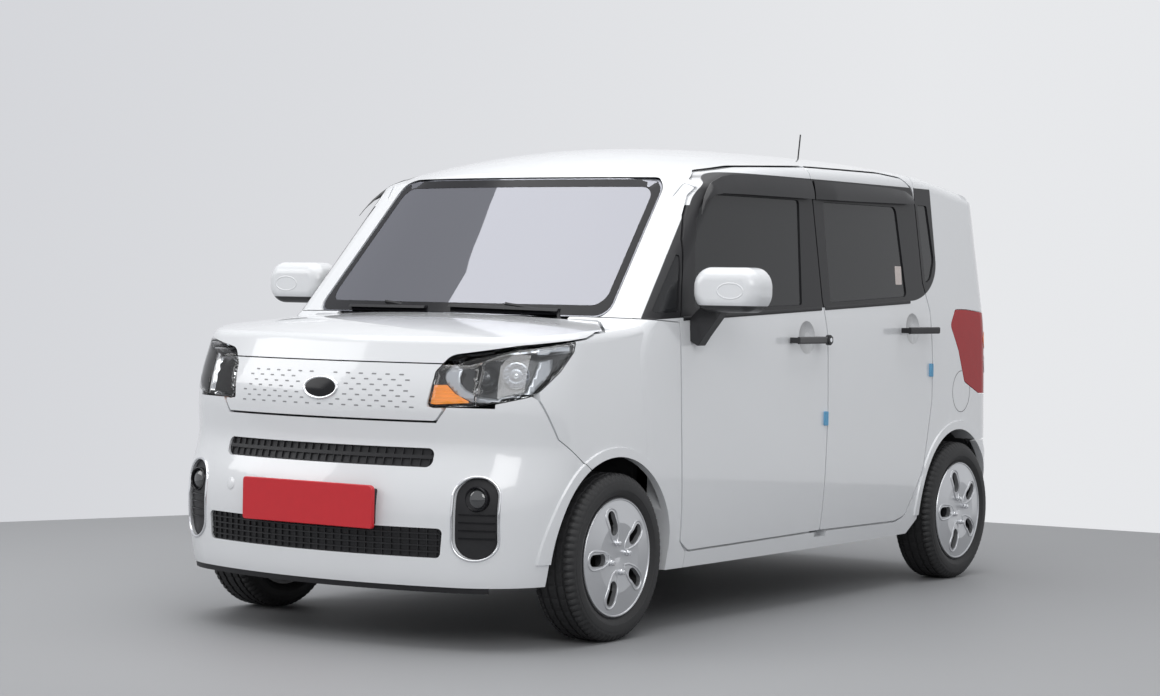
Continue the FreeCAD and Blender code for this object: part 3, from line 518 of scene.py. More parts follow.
def finish_mesh(name, verts, faces, material, body="body", sharp=32.0):
    mesh = bpy.data.meshes.new(name)
    mesh.from_pydata([tuple(v) for v in verts], [], [tuple(f) for f in faces])
    mesh.materials.append(material)
    mesh.update()
    smooth(mesh, sharp)
    obj = linked(name, mesh)
    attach(obj, body)
    return obj


def change_mesh(obj, change):
    bm = bmesh.new()
    bm.from_mesh(obj.data)
    change(bm)
    bm.to_mesh(obj.data)
    bm.free()
    return obj


def outward(obj):
    """The piece with all its faces turned outwards."""
    return change_mesh(obj, lambda bm: bmesh.ops.recalc_face_normals(bm, faces=bm.faces))


def both_sides(obj, name=None, other_body="body"):
    """Adds the same piece on the other side of the car."""
    name = name or obj.name.replace("_left", "_right")
    mesh = obj.data.copy()
    mesh.name = name
    for v in mesh.vertices:
        v.co.x = -v.co.x
    mesh.flip_normals()
    other = linked(name, mesh)
    for m in obj.modifiers:
        n = other.modifiers.new(m.name, m.type)
        for key in ("thickness", "offset"):
            setattr(n, key, getattr(m, key))
    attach(other, other_body)


def shell(obj, thick):
    wall = obj.modifiers.new("wall", "SOLIDIFY")
    wall.thickness = thick
    wall.offset = -1.0


def patch(name, tree, shoot, loops, material, body="body", step=0.02, lift=0.001, deep=0.0, thick=0.0):
    """Piece lying on a surface inside an outline; lift goes along the normal, deep along the sight line."""
    verts, faces = filled(loops, step)
    out = []
    for p in verts:
        spot, normal, into = meet(tree, shoot, p.x, p.y)
        up = lift(p.x, p.y) if callable(lift) else lift
        back = deep(p.x, p.y) if callable(deep) else deep
        out.append(spot + normal * up + into * back)
    obj = finish_mesh(name, out, faces, material, body)
    if thick > 0:
        shell(obj, thick)
    return obj


def tube_faces(count, ring, closed=False):
    """Quads between neighbouring rings of points."""
    faces = []
    for i in range(count if closed else count - 1):
        j = (i + 1) % count
        for k in range(ring):
            m = (k + 1) % ring
            faces.append((i * ring + k, i * ring + m, j * ring + m, j * ring + k))
    return faces


def end_faces(count, ring):
    """Faces that close the first and the last ring."""
    return [tuple(range(ring))[::-1], tuple((count - 1) * ring + k for k in range(ring))]


def sweep(name, spots, normals, section, material, body="body", closed=True):
    """A section (across, out) run along a line on a surface."""
    verts = []
    count, ring = len(spots), len(section)
    for i in range(count):
        a = spots[i - 1] if closed or i > 0 else spots[0]
        b = spots[(i + 1) % count] if closed or i < count - 1 else spots[-1]
        t = (b - a).normalized()
        n = (normals[i] - t * normals[i].dot(t)).normalized()
        s = t.cross(n)
        verts += [spots[i] + s * du + n * dv for du, dv in section]
    faces = tube_faces(count, ring, closed)
    if not closed:
        faces += end_faces(count, ring)
    return outward(finish_mesh(name, verts, faces, material, body, 40.0))


def round_section(half_width, height, count=8, sink=0.0):
    """Half-round section, flat side on the surface."""
    turns = [math.pi * i / count for i in range(count + 1)]
    return [(half_width * math.cos(w), height * math.sin(w) - sink) for w in turns]


def lathe(name, profile, centre, axis, material, body="body", segments=32, sharp=32.0):
    """Profile of (radius, along the axis) turned about an axis through a point."""
    axis = Vector(axis).normalized()
    side_a = axis.orthogonal().normalized()
    side_b = axis.cross(side_a)
    verts, faces, rings = [], [], []
    for r, h in profile:
        base = len(verts)
        if r < 1e-6:
            rings.append([base])
            verts.append(Vector(centre) + axis * h)
            continue
        rings.append(list(range(base, base + segments)))
        for i in range(segments):
            w = 2 * math.pi * i / segments
            verts.append(Vector(centre) + axis * h + (side_a * math.cos(w) + side_b * math.sin(w)) * r)
    for lo, hi in zip(rings, rings[1:]):
        for i in range(segments):
            j = (i + 1) % segments
            if len(hi) == 1:
                faces.append((lo[i], hi[0], lo[j]))
            else:
                faces.append((lo[i], hi[i], hi[j], lo[j]))
    return outward(finish_mesh(name, verts, faces, material, body, sharp))


def loft_rings(name, rings, material, body="body"):
    """Closed piece through rings of as many points each."""
    count, ring = len(rings), len(rings[0])
    verts = [p for points in rings for p in points]
    faces = tube_faces(count, ring) + end_faces(count, ring)
    return outward(finish_mesh(name, verts, faces, material, body, 40.0))


def upright_ring(outline, y):
    """An outline seen from the front, set at one length."""
    return [fa(p.x, y, p.y) for p in outline]


def joined(objs, name):
    """Several plain pieces of one finish as one."""
    verts, faces = [], []
    for o in objs:
        base = len(verts)
        verts += [v.co.copy() for v in o.data.vertices]
        faces += [tuple(base + i for i in p.vertices) for p in o.data.polygons]
    material = objs[0].data.materials[0]
    body = objs[0]["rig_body"]
    for o in objs:
        bpy.data.objects.remove(o)
    return finish_mesh(name, verts, faces, material, body)


# Nose: emblem, pressed panel, plate, grilles and fog lamps
EMBLEM_Z = 0.822
nose = surface_of("front_bumper", "front_fenders", "bonnet", "headlamps", "front_grilles")
grilles = surface_of("front_grilles")
spots, normals = traced(nose, FRONT, ellipse(0.0, EMBLEM_Z, 0.068, 0.0345, 48))
sweep("emblem_ring", spots, normals, round_section(0.0055, 0.006, 6), chrome)
patch("emblem_field", nose, FRONT, [ellipse(0.0, EMBLEM_Z, 0.066, 0.033, 40)], gloss_black, step=0.012,
      lift=lambda u, v: 0.002 + 0.004 * max(0.0, 1 - (u / 0.068) ** 2 - ((v - EMBLEM_Z) / 0.035) ** 2))

DASH_TOP, DASH_DROP, DASH_PITCH = 0.872, 0.0171, 0.0503
DASH_HALF_WIDTH, DASH_HALF_HEIGHT = 0.0085, 0.0022
verts, faces = [], []
for row in range(7):
    z = DASH_TOP - row * DASH_DROP
    u = -0.352 + (0.025 if row % 2 else 0.0)
    edge = 0.347 + (DASH_TOP - z) * 0.1
    while u < 0.353:
        if abs(u) < edge and ((u / 0.098) ** 2 + ((z - EMBLEM_Z) / 0.052) ** 2) > 1.0:
            for du, dz in rounded_box(u - DASH_HALF_WIDTH, z - DASH_HALF_HEIGHT, u + DASH_HALF_WIDTH,
                                      z + DASH_HALF_HEIGHT, 0.002, 2):
                spot, normal, into = meet(nose, FRONT, du, dz)
                verts.append(spot + normal * 0.0005)
            faces.append(tuple(range(len(verts) - 12, len(verts))))
        u += DASH_PITCH
# The pressed dashes are dark grey patches on the white panel: painted shade in the recesses.
panel_dash = finish_surface("pressed_dash_painted_shade", (0.26, 0.265, 0.275), 0.4, spread=0.05)
finish_mesh("front_panel_dashes", verts, faces, panel_dash)

PLATE_Z, PLATE_BACK = 0.4505, -0.6395
plate_line = rounded(((-0.273, 0.381, 0.010), (0.273, 0.381, 0.010), (0.273, 0.520, 0.016),
                      (-0.273, 0.520, 0.010)), 5)
plate_front = [fa(p.x * 0.992, -0.6525, PLATE_Z + (p.y - PLATE_Z) * 0.97) for p in plate_line]
loft_rings("front_plate_blank", [plate_front, upright_ring(plate_line, -0.6495),
                                 upright_ring(plate_line, PLATE_BACK)], red)
holder_line = rounded_box(-0.262, 0.392, 0.262, 0.508, 0.008, 3)
loft_rings("front_plate_holder", [upright_ring(holder_line, PLATE_BACK), upright_ring(holder_line, -0.604)],
           trim_black)


def grille_bar(name, a, b, half, proud):
    spots, normals = traced_line(grilles, FRONT, a, b)
    section = [(-half, -0.004), (half, -0.004), (half, proud), (-half, proud)]
    return sweep(name, spots, normals, section, trim_black, closed=False)


grille_bar("upper_slot_bar", (-0.425, 0.611), (0.425, 0.611), 0.006, 0.007)
bars = []
for k in range(4):
    z = 0.316 + k * 0.019
    bars.append(grille_bar("mouth_bar_%d" % k, (-0.478, z), (0.478, z), 0.0022, 0.008))
for k in range(31):
    u = -0.465 + k * 0.031
    bars.append(grille_bar("mouth_rib_%d" % k, (u, 0.300), (u, 0.389), 0.0016, 0.0055))
for k in range(27):
    u = -0.416 + k * 0.032
    bars.append(grille_bar("slot_rib_%d" % k, (u, 0.585), (u, 0.638), 0.0016, 0.005))
joined(bars, "grille_mesh")

spots, normals = traced(nose, FRONT, dense(rounded_box(0.519, 0.293, 0.655, 0.557, 0.068, 12), 0.02))
both_sides(sweep("fog_ring_left", spots, normals, round_section(0.0045, 0.005, 6), chrome))
lamp_spot, lamp_normal, into = meet(grilles, FRONT, 0.587, 0.487)
face_dir = (lamp_normal + Vector((0, -1.4, 0))).normalized()
dark_glass = finish_surface("dark_lamp_glass", (0.030, 0.032, 0.035), 0.07, spread=0.3, coat=1.0,
                            specular=0.8)
FOG_BEZEL = [(0.040, -0.012), (0.040, 0.006), (0.037, 0.010), (0.034, 0.006), (0.034, -0.004)]
FOG_GLASS = [(0.0345, -0.003), (0.030, 0.003), (0.020, 0.007), (0.009, 0.0085), (0.0, 0.009)]
both_sides(lathe("fog_lamp_left_bezel", FOG_BEZEL, lamp_spot, face_dir, gloss_black, segments=40))
both_sides(lathe("fog_lamp_left_glass", FOG_GLASS, lamp_spot, face_dir, dark_glass, segments=40))
louvres = []
for k, z in enumerate((0.437, 0.412, 0.387, 0.362)):
    spots, normals = traced_line(grilles, FRONT, (0.535, z), (0.640, z), 0.02)
    section = [(-0.0022, -0.003), (0.0022, -0.003), (0.0012, 0.006), (-0.0012, 0.006)]
    louvres.append(sweep("louvre_%d" % k, spots, normals, section, gloss_black, closed=False))
both_sides(joined(louvres, "fog_pod_left_louvres"))
eye_spot, eye_normal, into = meet(nose, FRONT, -0.378, 0.488)
lathe("tow_eye_cap", [(0.0205, -0.001), (0.0205, 0.0008), (0.0195, 0.0014), (0.0, 0.0016)], eye_spot,
      eye_normal, paint, segments=36)
spots, normals = traced_line(nose, FRONT, (-0.62, 0.209), (0.62, 0.209))
level = [Vector((s.x, s.y + 0.006, 0.2085)) for s in spots]
sweep("bumper_lip", level, [Vector((0, 0, -1))] * len(level),
      [(-0.002, 0.0), (0.030, 0.0), (0.028, 0.022), (0.002, 0.022)], trim_black, closed=False)

# Headlamps: clear cover, black housing and what is inside
LAMP_LINE = [(0.0088, 0.7979), (0.0, 0.7785), (0.030, 0.7755), (0.154, 0.785), (0.233, 0.789), (0.285, 0.796),
             (0.330, 0.812), (0.395, 0.870), (0.440, 0.916), (0.462, 0.945), (0.469, 0.978), (0.330, 0.968),
             (0.200, 0.952), (0.110, 0.940), (0.0793, 0.9354), (0.0583, 0.911), (0.0283, 0.8512)]
BRACKET_LINE = [(0.088, 0.906), (0.066, 0.884), (0.0635, 0.864), (0.0734, 0.8430), (0.0995, 0.817),
                (0.150, 0.7905), (0.233, 0.7875), (0.300, 0.7955), (0.342, 0.820), (0.3873, 0.870),
                (0.403, 0.900), (0.4059, 0.930), (0.3611, 0.9212), (0.345, 0.875), (0.3212, 0.824),
                (0.285, 0.8070), (0.233, 0.8010), (0.1728, 0.8085), (0.130, 0.8300), (0.1132, 0.850),
                (0.1113, 0.8664), (0.1202, 0.898), (0.1106, 0.9050)]
STRIP_LINE = [(0.0755, 0.9262), (0.170, 0.9385), (0.3322, 0.9475), (0.3642, 0.938), (0.4641, 0.951),
              (0.4670, 0.9760), (0.335, 0.9620), (0.200, 0.9475), (0.110, 0.9352)]
AMBER_LINE = [(0.012, 0.790), (0.030, 0.842), (0.070, 0.8435), (0.097, 0.816), (0.148, 0.7885),
              (0.0332, 0.7805), (0.010, 0.782)]
RIB_PITCH = 0.0128
lamp_tree = surface_of("headlamps")


def faces_back(face):
    """True for a lamp cover's face that doesn't look out of the car."""
    outside = Vector((math.copysign(0.5, face.calc_center_median().x), -0.85, 0.15))
    return face.normal.dot(outside) < 0.12


cover = bmesh.new()
cover.from_mesh(NODES["headlamps"].data)
cover.normal_update()
bmesh.ops.delete(cover, geom=[f for f in cover.faces if faces_back(f)], context="FACES")
mesh = bpy.data.meshes.new("headlamp_covers")
cover.to_mesh(mesh)
cover.free()
mesh.materials.append(lens)
smooth(mesh, 40.0)
covers = linked("headlamp_covers", mesh)
shell(covers, 0.0025)
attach(covers, "body")
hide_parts("headlamps")

housing = finish_surface("lamp_housing", (0.014, 0.014, 0.016), 0.22, spread=0.2, coat=0.3)
reflector = finish_surface("lamp_reflector", (0.55, 0.56, 0.58), 0.14, metallic=1.0, spread=0.05,
                           rough_spread=0.04)
bright = finish_surface("lamp_bracket", (0.78, 0.79, 0.81), 0.24, metallic=0.55, spread=0.03)
amber = finish_surface("amber_lens", (0.85, 0.22, 0.02), 0.18, spread=0.10, coat=0.7)
amber_lit = finish_surface("amber_lit", (0.90, 0.27, 0.02), 0.18, spread=0.10, coat=0.7)
glow = amber_lit.node_tree.nodes["Principled BSDF"]
glow.inputs["Emission Color"].default_value = (1.0, 0.36, 0.04, 1.0)
glow.inputs["Emission Strength"].default_value = 0.55


def lamp_patch(name, outline, material, deep, step=0.012, thick=0.0, radius=0.0):
    points = [Vector(p) for p in outline]
    if radius > 0:
        points = rounded([(u, v, radius) for u, v in outline], 4)
    both_sides(patch(name + "_left", lamp_tree, LAMP_EYE, [dense(points, 0.012)], material, step=step,
                     lift=0.0, deep=deep, thick=thick))


def housing_depth(u, v):
    return 0.046 + 0.020 * math.sin(max(0, min(1, (u - 0.08) / 0.3)) * math.pi)


def amber_depth(u, v):
    return 0.016 + 0.005 * (0.5 + 0.5 * math.sin((v - 0.78) / RIB_PITCH * 2 * math.pi))


def lamp_turned(name, profile, centre, aim, material, **shape):
    both_sides(lathe(name, profile, centre, aim, material, **shape))


lamp_patch("lamp_housing", LAMP_LINE, housing, housing_depth, step=0.016)
lamp_patch("lamp_bracket", BRACKET_LINE, bright, 0.020, thick=0.006, radius=0.004)
lamp_patch("lamp_chrome_strip", STRIP_LINE, chrome, 0.012, thick=0.004, radius=0.003)
lamp_patch("lamp_amber", AMBER_LINE, amber_lit, amber_depth, step=0.003, radius=0.003)
spot, normal, into = meet(lamp_tree, LAMP_EYE, 0.197, 0.8656)
centre, r = spot + into * 0.040, 0.044
lamp_turned("lamp_projector_left_ring", [(r, -0.022), (r, 0.012), (r - 0.004, 0.016), (r - 0.008, 0.012),
                                         (r - 0.010, -0.004)], centre, -into, housing, segments=48)
lamp_turned("lamp_projector_left_lens", [(r - 0.009, 0.0), (r - 0.014, 0.010), (r - 0.022, 0.018),
                                         (0.010, 0.0235), (0.0, 0.0245)], centre, -into, dark_glass,
            segments=48)
spot, normal, into = meet(lamp_tree, LAMP_EYE, 0.2895, 0.8765)
centre, r = spot + into * 0.040, 0.043
lamp_turned("lamp_bowl_left", [(r, 0.012), (r - 0.003, 0.013), (r - 0.006, 0.004), (r - 0.012, -0.006),
                               (r - 0.022, -0.014), (0.012, -0.018), (0.0, -0.018)], centre, -into, reflector,
            segments=14, sharp=8.0)
lamp_turned("lamp_bulb_left", [(0.0085, -0.018), (0.0085, -0.002), (0.006, 0.004), (0.0, 0.006)], centre,
            -into, chrome, segments=20)
for k in range(3):
    spot, normal, into = meet(lamp_tree, LAMP_EYE, 0.080 + 0.016 * k, 0.9185 + 0.001 * k)
    lamp_turned("lamp_bead_left_%d" % k, [(0.005, -0.002), (0.005, 0.003), (0.003, 0.005), (0.0, 0.006)],
                spot + into * 0.014, -into, chrome, segments=16)

# Sides: rain shields, belt strips, handle cups and locks
smoked = finish_surface("smoked_plastic", (0.014, 0.014, 0.016), 0.14, spread=0.25, specular=0.30,
                        rough_spread=0.03)
left_skin = surface_of("front_door_left", "front_door_left_glass", "rear_door_left", "rear_door_left_glass",
                       "side_frame_left", "side_glass", "front_fenders", "tail_lamps", "rear_bumper")


def skin_terms(y, z):
    """Terms of the smooth surface that stands for the door frames under the rain shields."""
    return [1.0, y, z, y * y, y * z, z * z, y ** 3, y * y * z]


def fitted_skin(tree):
    """Least-squares surface x(y, z) through casts on the upper door frames."""
    rows, values = [], []
    for i in range(84):
        y = 0.60 + 0.019 * i
        for z in (1.500, 1.510, 1.530, 1.545, 1.560, 1.568):
            spot, normal, index, dist = tree.ray_cast(fa(2.0, y, z), Vector((-1, 0, 0)))
            if spot is not None and spot.x > 0.55:
                rows.append(skin_terms(y, z))
                values.append(spot.x)
    return np.linalg.lstsq(np.array(rows), np.array(values), rcond=None)[0]


skin_fit = fitted_skin(surface_of("front_door_left", "rear_door_left"))


def spaced(line, count):
    """Points at equal shares of a line's length."""
    line = [Vector(p) for p in line]
    runs = [0.0]
    for a, b in zip(line, line[1:]):
        runs.append(runs[-1] + (b - a).length)
    out, k = [], 0
    for i in range(count + 1):
        s = runs[-1] * i / count
        while k < len(line) - 2 and runs[k + 1] < s:
            k += 1
        out.append(line[k].lerp(line[k + 1], (s - runs[k]) / (runs[k + 1] - runs[k])))
    return out


def visor(name, lower, upper, body, other_name, other_body):
    """Smoked rain shield, ruled from an edge that stands off the door up to the skin above the window."""
    rows, count = 5, 64
    wall, clearance, stand_off, nose_run = 0.0025, 0.0065, 0.0110, 14.0
    verts = []
    for i, (low, high) in enumerate(zip(spaced(lower, count), spaced(upper, count))):
        away = stand_off * min(1.0, 0.15 + i / nose_run)
        section = []
        for k in range(rows + 1):
            share = k / rows
            p = low.lerp(high, share)
            x = float(np.dot(skin_fit, skin_terms(p.x, p.y))) + clearance + away * (1.0 - share ** 1.6)
            section.append((x, p))
        verts += [fa(x, p.x, p.y) for x, p in section]
        verts += [fa(x - wall, p.x, p.y) for x, p in section[::-1]]
    ring = 2 * (rows + 1)
    faces = tube_faces(count + 1, ring)
    faces.append(tuple(range(ring)))
    faces.append(tuple(range(count * ring, (count + 1) * ring))[::-1])
    piece = outward(finish_mesh(name, verts, faces, smoked, body, 35.0))
    both_sides(piece, other_name, other_body)


visor("front_visor_left",
      [(0.530, 1.414), (0.562, 1.447), (0.600, 1.474), (0.640, 1.489), (0.700, 1.497), (0.850, 1.4985),
       (1.340, 1.500)],
      [(0.548, 1.440), (0.582, 1.478), (0.615, 1.504), (0.662, 1.534), (0.735, 1.557), (0.810, 1.568),
       (0.990, 1.572), (1.343, 1.570)], "front_door_left", "front_visor_right", "front_door_right")
visor("rear_visor_left", [(1.366, 1.5005), (1.700, 1.503), (2.000, 1.507), (2.165, 1.510)],
      [(1.362, 1.570), (1.700, 1.570), (2.000, 1.567), (2.120, 1.560), (2.176, 1.540)],
      "rear_door_left", "rear_visor_right", "body")


def belt(name, a, b, body, other_name, other_body):
    ends = [(y, 1.045 + BELT_SLOPE * y) for y in (a, b)]
    spots, normals = traced_line(left_skin, LEFT, *ends)
    section = round_section(0.008, 0.0045, 6, 0.001)
    piece = sweep(name, spots, normals, section, trim_black, body, closed=False)
    both_sides(piece, other_name, other_body)


belt("front_belt_strip_left", 0.392, 1.350, "front_door_left", "front_belt_strip_right", "front_door_right")
belt("rear_belt_strip_left", 1.378, 2.090, "rear_door_left", "rear_belt_strip_right", "body")


def handle_cup(name, y, z, body):
    radius = 0.060
    return patch(name, left_skin, LEFT, [ellipse(y, z, radius, radius, 48)],
                 dish_paint(name + "_paint", y, z, radius), body, step=0.012, lift=0.0004)


def front_door_pair(piece):
    """The left front door's piece, and the same on the right front door."""
    both_sides(piece, other_body="front_door_right")


front_door_pair(handle_cup("front_handle_cup_left", 1.230, 0.990, "front_door_left"))
handle_cup("rear_handle_cup_left", 2.100, 1.018, "rear_door_left")
KEY_END = [(0.019, -0.012), (0.019, 0.001), (0.0165, 0.0035), (0.0, 0.0040)]
KEY_BARREL = [(0.0085, 0.003), (0.0085, 0.0048), (0.0070, 0.0055), (0.0030, 0.0055), (0.0028, 0.0046),
              (0.0, 0.0046)]
lock = fa(0.838, 1.312, 0.981)
front_door_pair(lathe("key_end_left", KEY_END, lock, (1, 0, 0), trim_black, "front_door_left", segments=36))
front_door_pair(lathe("key_barrel_left", KEY_BARREL, lock, (1, 0, 0), chrome, "front_door_left", segments=28))

# Door mirrors
ear = surface_of("front_door_left_trim")
mirror_glass = finish_surface("mirror_glass", (0.82, 0.84, 0.86), 0.03, metallic=1.0, spread=0.02,
                              rough_spread=0.01)
spots, normals = traced(ear, FRONT, ellipse(0.972, 1.156, 0.050, 0.026, 44))
front_door_pair(sweep("mirror_press_left", spots, normals, round_section(0.0030, 0.0016, 6, 0.0004), paint,
                      "front_door_left"))
face = rounded_box(0.824, 1.096, 1.060, 1.224, 0.055, 10)
rim = rounded_box(0.817, 1.089, 1.067, 1.231, 0.060, 10)
front_door_pair(loft_rings("mirror_rim_left", [upright_ring(rim, 0.4755), upright_ring(rim, 0.4785),
                                               upright_ring(face, 0.4785), upright_ring(face, 0.4765)],
                           trim_black, "front_door_left"))
front_door_pair(loft_rings("mirror_face_left", [upright_ring(face, 0.4762), upright_ring(face, 0.4770)],
                           mirror_glass, "front_door_left"))

# Fuel flap's shut line, left open where the tail lamp covers it
FLAP_Y, FLAP_Z = 2.560, 0.760
dark_line = finish_surface("shut_line", (0.03, 0.03, 0.033), 0.7, spread=0.2)
flap = patch("fuel_flap_line", surface_of("side_frame_left", "rear_bumper"), LEFT,
             [ellipse(FLAP_Y, FLAP_Z, 0.0850, 0.0850, 64), ellipse(FLAP_Y, FLAP_Z, 0.0828, 0.0828, 64)],
             dark_line, step=0.02, lift=0.0004)


def under_tail_lamp(face):
    centre = face.calc_center_median()
    return centre.y - SHIFT > 2.566 and centre.z > 0.785


change_mesh(flap, lambda bm: bmesh.ops.delete(bm, geom=[f for f in bm.faces if under_tail_lamp(f)],
                                              context="FACES"))

# Window sticker and door pads
label = finish_surface("sticker_film", (0.62, 0.55, 0.52), 0.35, spread=0.25, scale=160.0)
sticker = rounded(((1.985, 1.190, 0.004), (2.040, 1.190, 0.004), (2.046, 1.262, 0.004),
                   (1.990, 1.262, 0.004)), 3)
patch("window_sticker", surface_of("rear_door_left_glass"), LEFT, [sticker], label, "rear_door_left",
      step=0.01, lift=0.0005)
foam = finish_surface("blue_foam", (0.16, 0.42, 0.66), 0.8, spread=0.12, grain=0.3, grain_scale=700.0)
for name, y, z, body in (("door_pad_front", 1.370, 0.689, "front_door_left"),
                         ("door_pad_rear", 2.258, 0.852, "rear_door_left")):
    outline = rounded_box(y - 0.010, z - 0.026, y + 0.010, z + 0.026, 0.004, 3)
    pad = patch(name, left_skin, LEFT, [outline], foam, body, step=0.008, lift=0.010, thick=0.010)
    edge = pad.modifiers.new("soft", "BEVEL")
    edge.width = 0.002
    edge.segments = 2

# Wheels: half a tyre's outline from bead to tread, as (across, radius)
TYRE_HALF = [(0.0614, 0.1965), (0.0690, 0.1990), (0.0762, 0.2075), (0.0806, 0.2190), (0.0812, 0.2205),
             (0.0822, 0.2212), (0.0825, 0.2240), (0.0825, 0.2330), (0.0820, 0.2420), (0.0814, 0.2450),
             (0.0806, 0.2456), (0.0797, 0.2540), (0.0768, 0.2605), (0.0728, 0.2660), (0.0680, 0.2712),
             (0.0630, 0.2748), (0.0560, 0.2766), (0.0512, 0.2768), (0.0500, 0.2708), (0.0440, 0.2708),
             (0.0428, 0.2769), (0.0225, 0.2770), (0.0212, 0.2708), (0.0138, 0.2708), (0.0125, 0.2770)]


def tread_cut(i, across, radius):
    """Depth of the cross cuts at one station round the tyre."""
    if i % 6 == 3 and across < 0.0430 and radius > 0.2760:
        return 0.0030
    if i % 3 == 0 and 0.0500 < across < 0.0780 and radius > 0.2590:
        return 0.0055
    return 0.0


def tyre_form(place, x, y):
    """Tyre with grooves round the tread and cut blocks on the shoulders."""
    profile = [(0.0614, 0.1805)] + TYRE_HALF + [(-a, r) for a, r in TYRE_HALF[::-1]] + [(-0.0614, 0.1805)]
    turns, count = 216, len(profile)
    verts, faces = [], []
    for i in range(turns):
        w = 2 * math.pi * (i + 0.5) / turns
        for a, r in profile:
            q = r - tread_cut(i, abs(a), r)
            verts.append(fa(x + a, y + q * math.cos(w), WHEEL_Z + q * math.sin(w)))
    for i in range(turns):
        j = (i + 1) % turns
        for k in range(count):
            m = (k + 1) % count
            faces.append((i * count + k, j * count + k, j * count + m, i * count + m))
    obj = outward(finish_mesh("tyre_form_" + place, verts, faces, rubber, "wheel_" + place, 28.0))
    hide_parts("tyre_" + place)


NUT = [(0.0100, -0.006), (0.0100, 0.006), (0.0085, 0.009), (0.0085, 0.0150), (0.0060, 0.0172), (0.0, 0.0178)]
COVER_EDGE = [(0.1880, 0.0745), (0.1905, 0.0775), (0.1935, 0.0775), (0.1950, 0.0745)]
RIM_GAP = [(0.1950, 0.0700), (0.1955, 0.0735), (0.1995, 0.0735), (0.2000, 0.0690)]


def leaf_line(y, turn):
    """Leaf-shaped outline round one slot of a wheel cover."""
    tip, bulge = 0.141, 0.0315
    outline = []
    for i in range(15):
        w = math.radians(-100 + 200 * i / 14)
        outline.append((tip + bulge * math.cos(w), bulge * math.sin(w)))
    outline += [(0.095, 0.027), (0.062, 0.016), (0.044, 0.0), (0.062, -0.016), (0.095, -0.027)]
    c, s = math.cos(turn), math.sin(turn)
    return [Vector((y + a * c - b * s, WHEEL_Z + a * s + b * c)) for a, b in outline]


def cover_detail(place, other, y):
    """Leaf-shaped surrounds of the slots, nuts, the cover's edge and the dark gap at the rim."""
    disc = surface_of("wheel_" + place)
    body, other_body = "wheel_" + place, "wheel_" + other
    hub = fa(WHEEL_X, y, WHEEL_Z)
    for k in range(5):
        spots, normals = traced(disc, LEFT, dense(leaf_line(y, math.radians(180 - 72 * k)), 0.008))
        leaf = sweep("cover_leaf_%s_%d" % (place, k), spots, normals,
                     round_section(0.0042, 0.0036, 6, 0.0006), silver, body)
        both_sides(leaf, "cover_leaf_%s_%d" % (other, k), other_body)
    for k in range(4):
        w = math.radians(15 + 90 * k)
        spot, normal, into = meet(disc, LEFT, y + 0.050 * math.cos(w), WHEEL_Z + 0.050 * math.sin(w))
        nut = lathe("wheel_nut_%s_%d" % (place, k), NUT, spot, (1, 0, 0), chrome, body, segments=12,
                    sharp=20.0)
        both_sides(nut, "wheel_nut_%s_%d" % (other, k), other_body)
    for name, profile, look in (("cover_edge_", COVER_EDGE, silver), ("rim_gap_", RIM_GAP, dark_line)):
        ring = lathe(name + place, profile, hub, (1, 0, 0), look, body, segments=96)
        both_sides(ring, name + other, other_body)


for axle, y in (("front", 0.0), ("rear", WHEELBASE)):
    tyre_form(axle + "_left", WHEEL_X, y)
    tyre_form(axle + "_right", -WHEEL_X, y)
cover_detail("front_left", "front_right", 0.0)
cover_detail("rear_left", "rear_right", WHEELBASE)


# Glass edges and wipers
def pane_border(name, tree, shoot, outer, inner, body="body"):
    loops = [dense(rounded_pane(*outer), 0.04), dense(rounded_pane(*inner), 0.04)]
    patch(name, tree, shoot, loops, gloss_black, body, step=0.03, lift=0.0008)


rear_glass = surface_of("tailgate_glass")
pane_border("screen_border", surface_of("windscreen"), FRONT, (0.624, 1.066, 0.568, 1.542, 0.04, 0.06),
            (0.594, 1.100, 0.545, 1.515, 0.04, 0.05))
pane_border("rear_glass_border", rear_glass, REAR, (0.556, 1.113, 0.536, 1.477, 0.04, 0.05),
            (0.520, 1.142, 0.505, 1.452, 0.04, 0.05), "tailgate")

SCREEN_NORMAL = Vector((0, -0.72, 0.69))


def wiper_arm(name, foot, tip):
    """Flat arm from its pivot over the edge of the cowl to the blade, with the cap of the pivot."""
    half = 0.006
    spots = [fa(foot, 0.066 + 0.05 * foot, 1.046), fa(foot - 0.02, 0.090 + 0.05 * foot, 1.074),
             fa(tip, 0.105, 1.100)]
    line = []
    for a, b in zip(spots, spots[1:]):
        line += [a.lerp(b, k / 6) for k in range(6)]
    line.append(spots[-1])
    section = [(-half, -0.003), (half, -0.003), (half * 0.6, 0.004), (-half * 0.6, 0.004)]
    sweep(name, line, [SCREEN_NORMAL] * len(line), section, trim_black, closed=False)
    lathe(name + "_pivot", [(0.014, -0.012), (0.014, 0.006), (0.009, 0.011), (0.0, 0.012)],
          fa(foot, 0.066 + 0.05 * foot, 1.043), SCREEN_NORMAL, trim_black, segments=24)


wiper_arm("wiper_arm_left", 0.470, 0.235)
wiper_arm("wiper_arm_right", -0.050, -0.285)

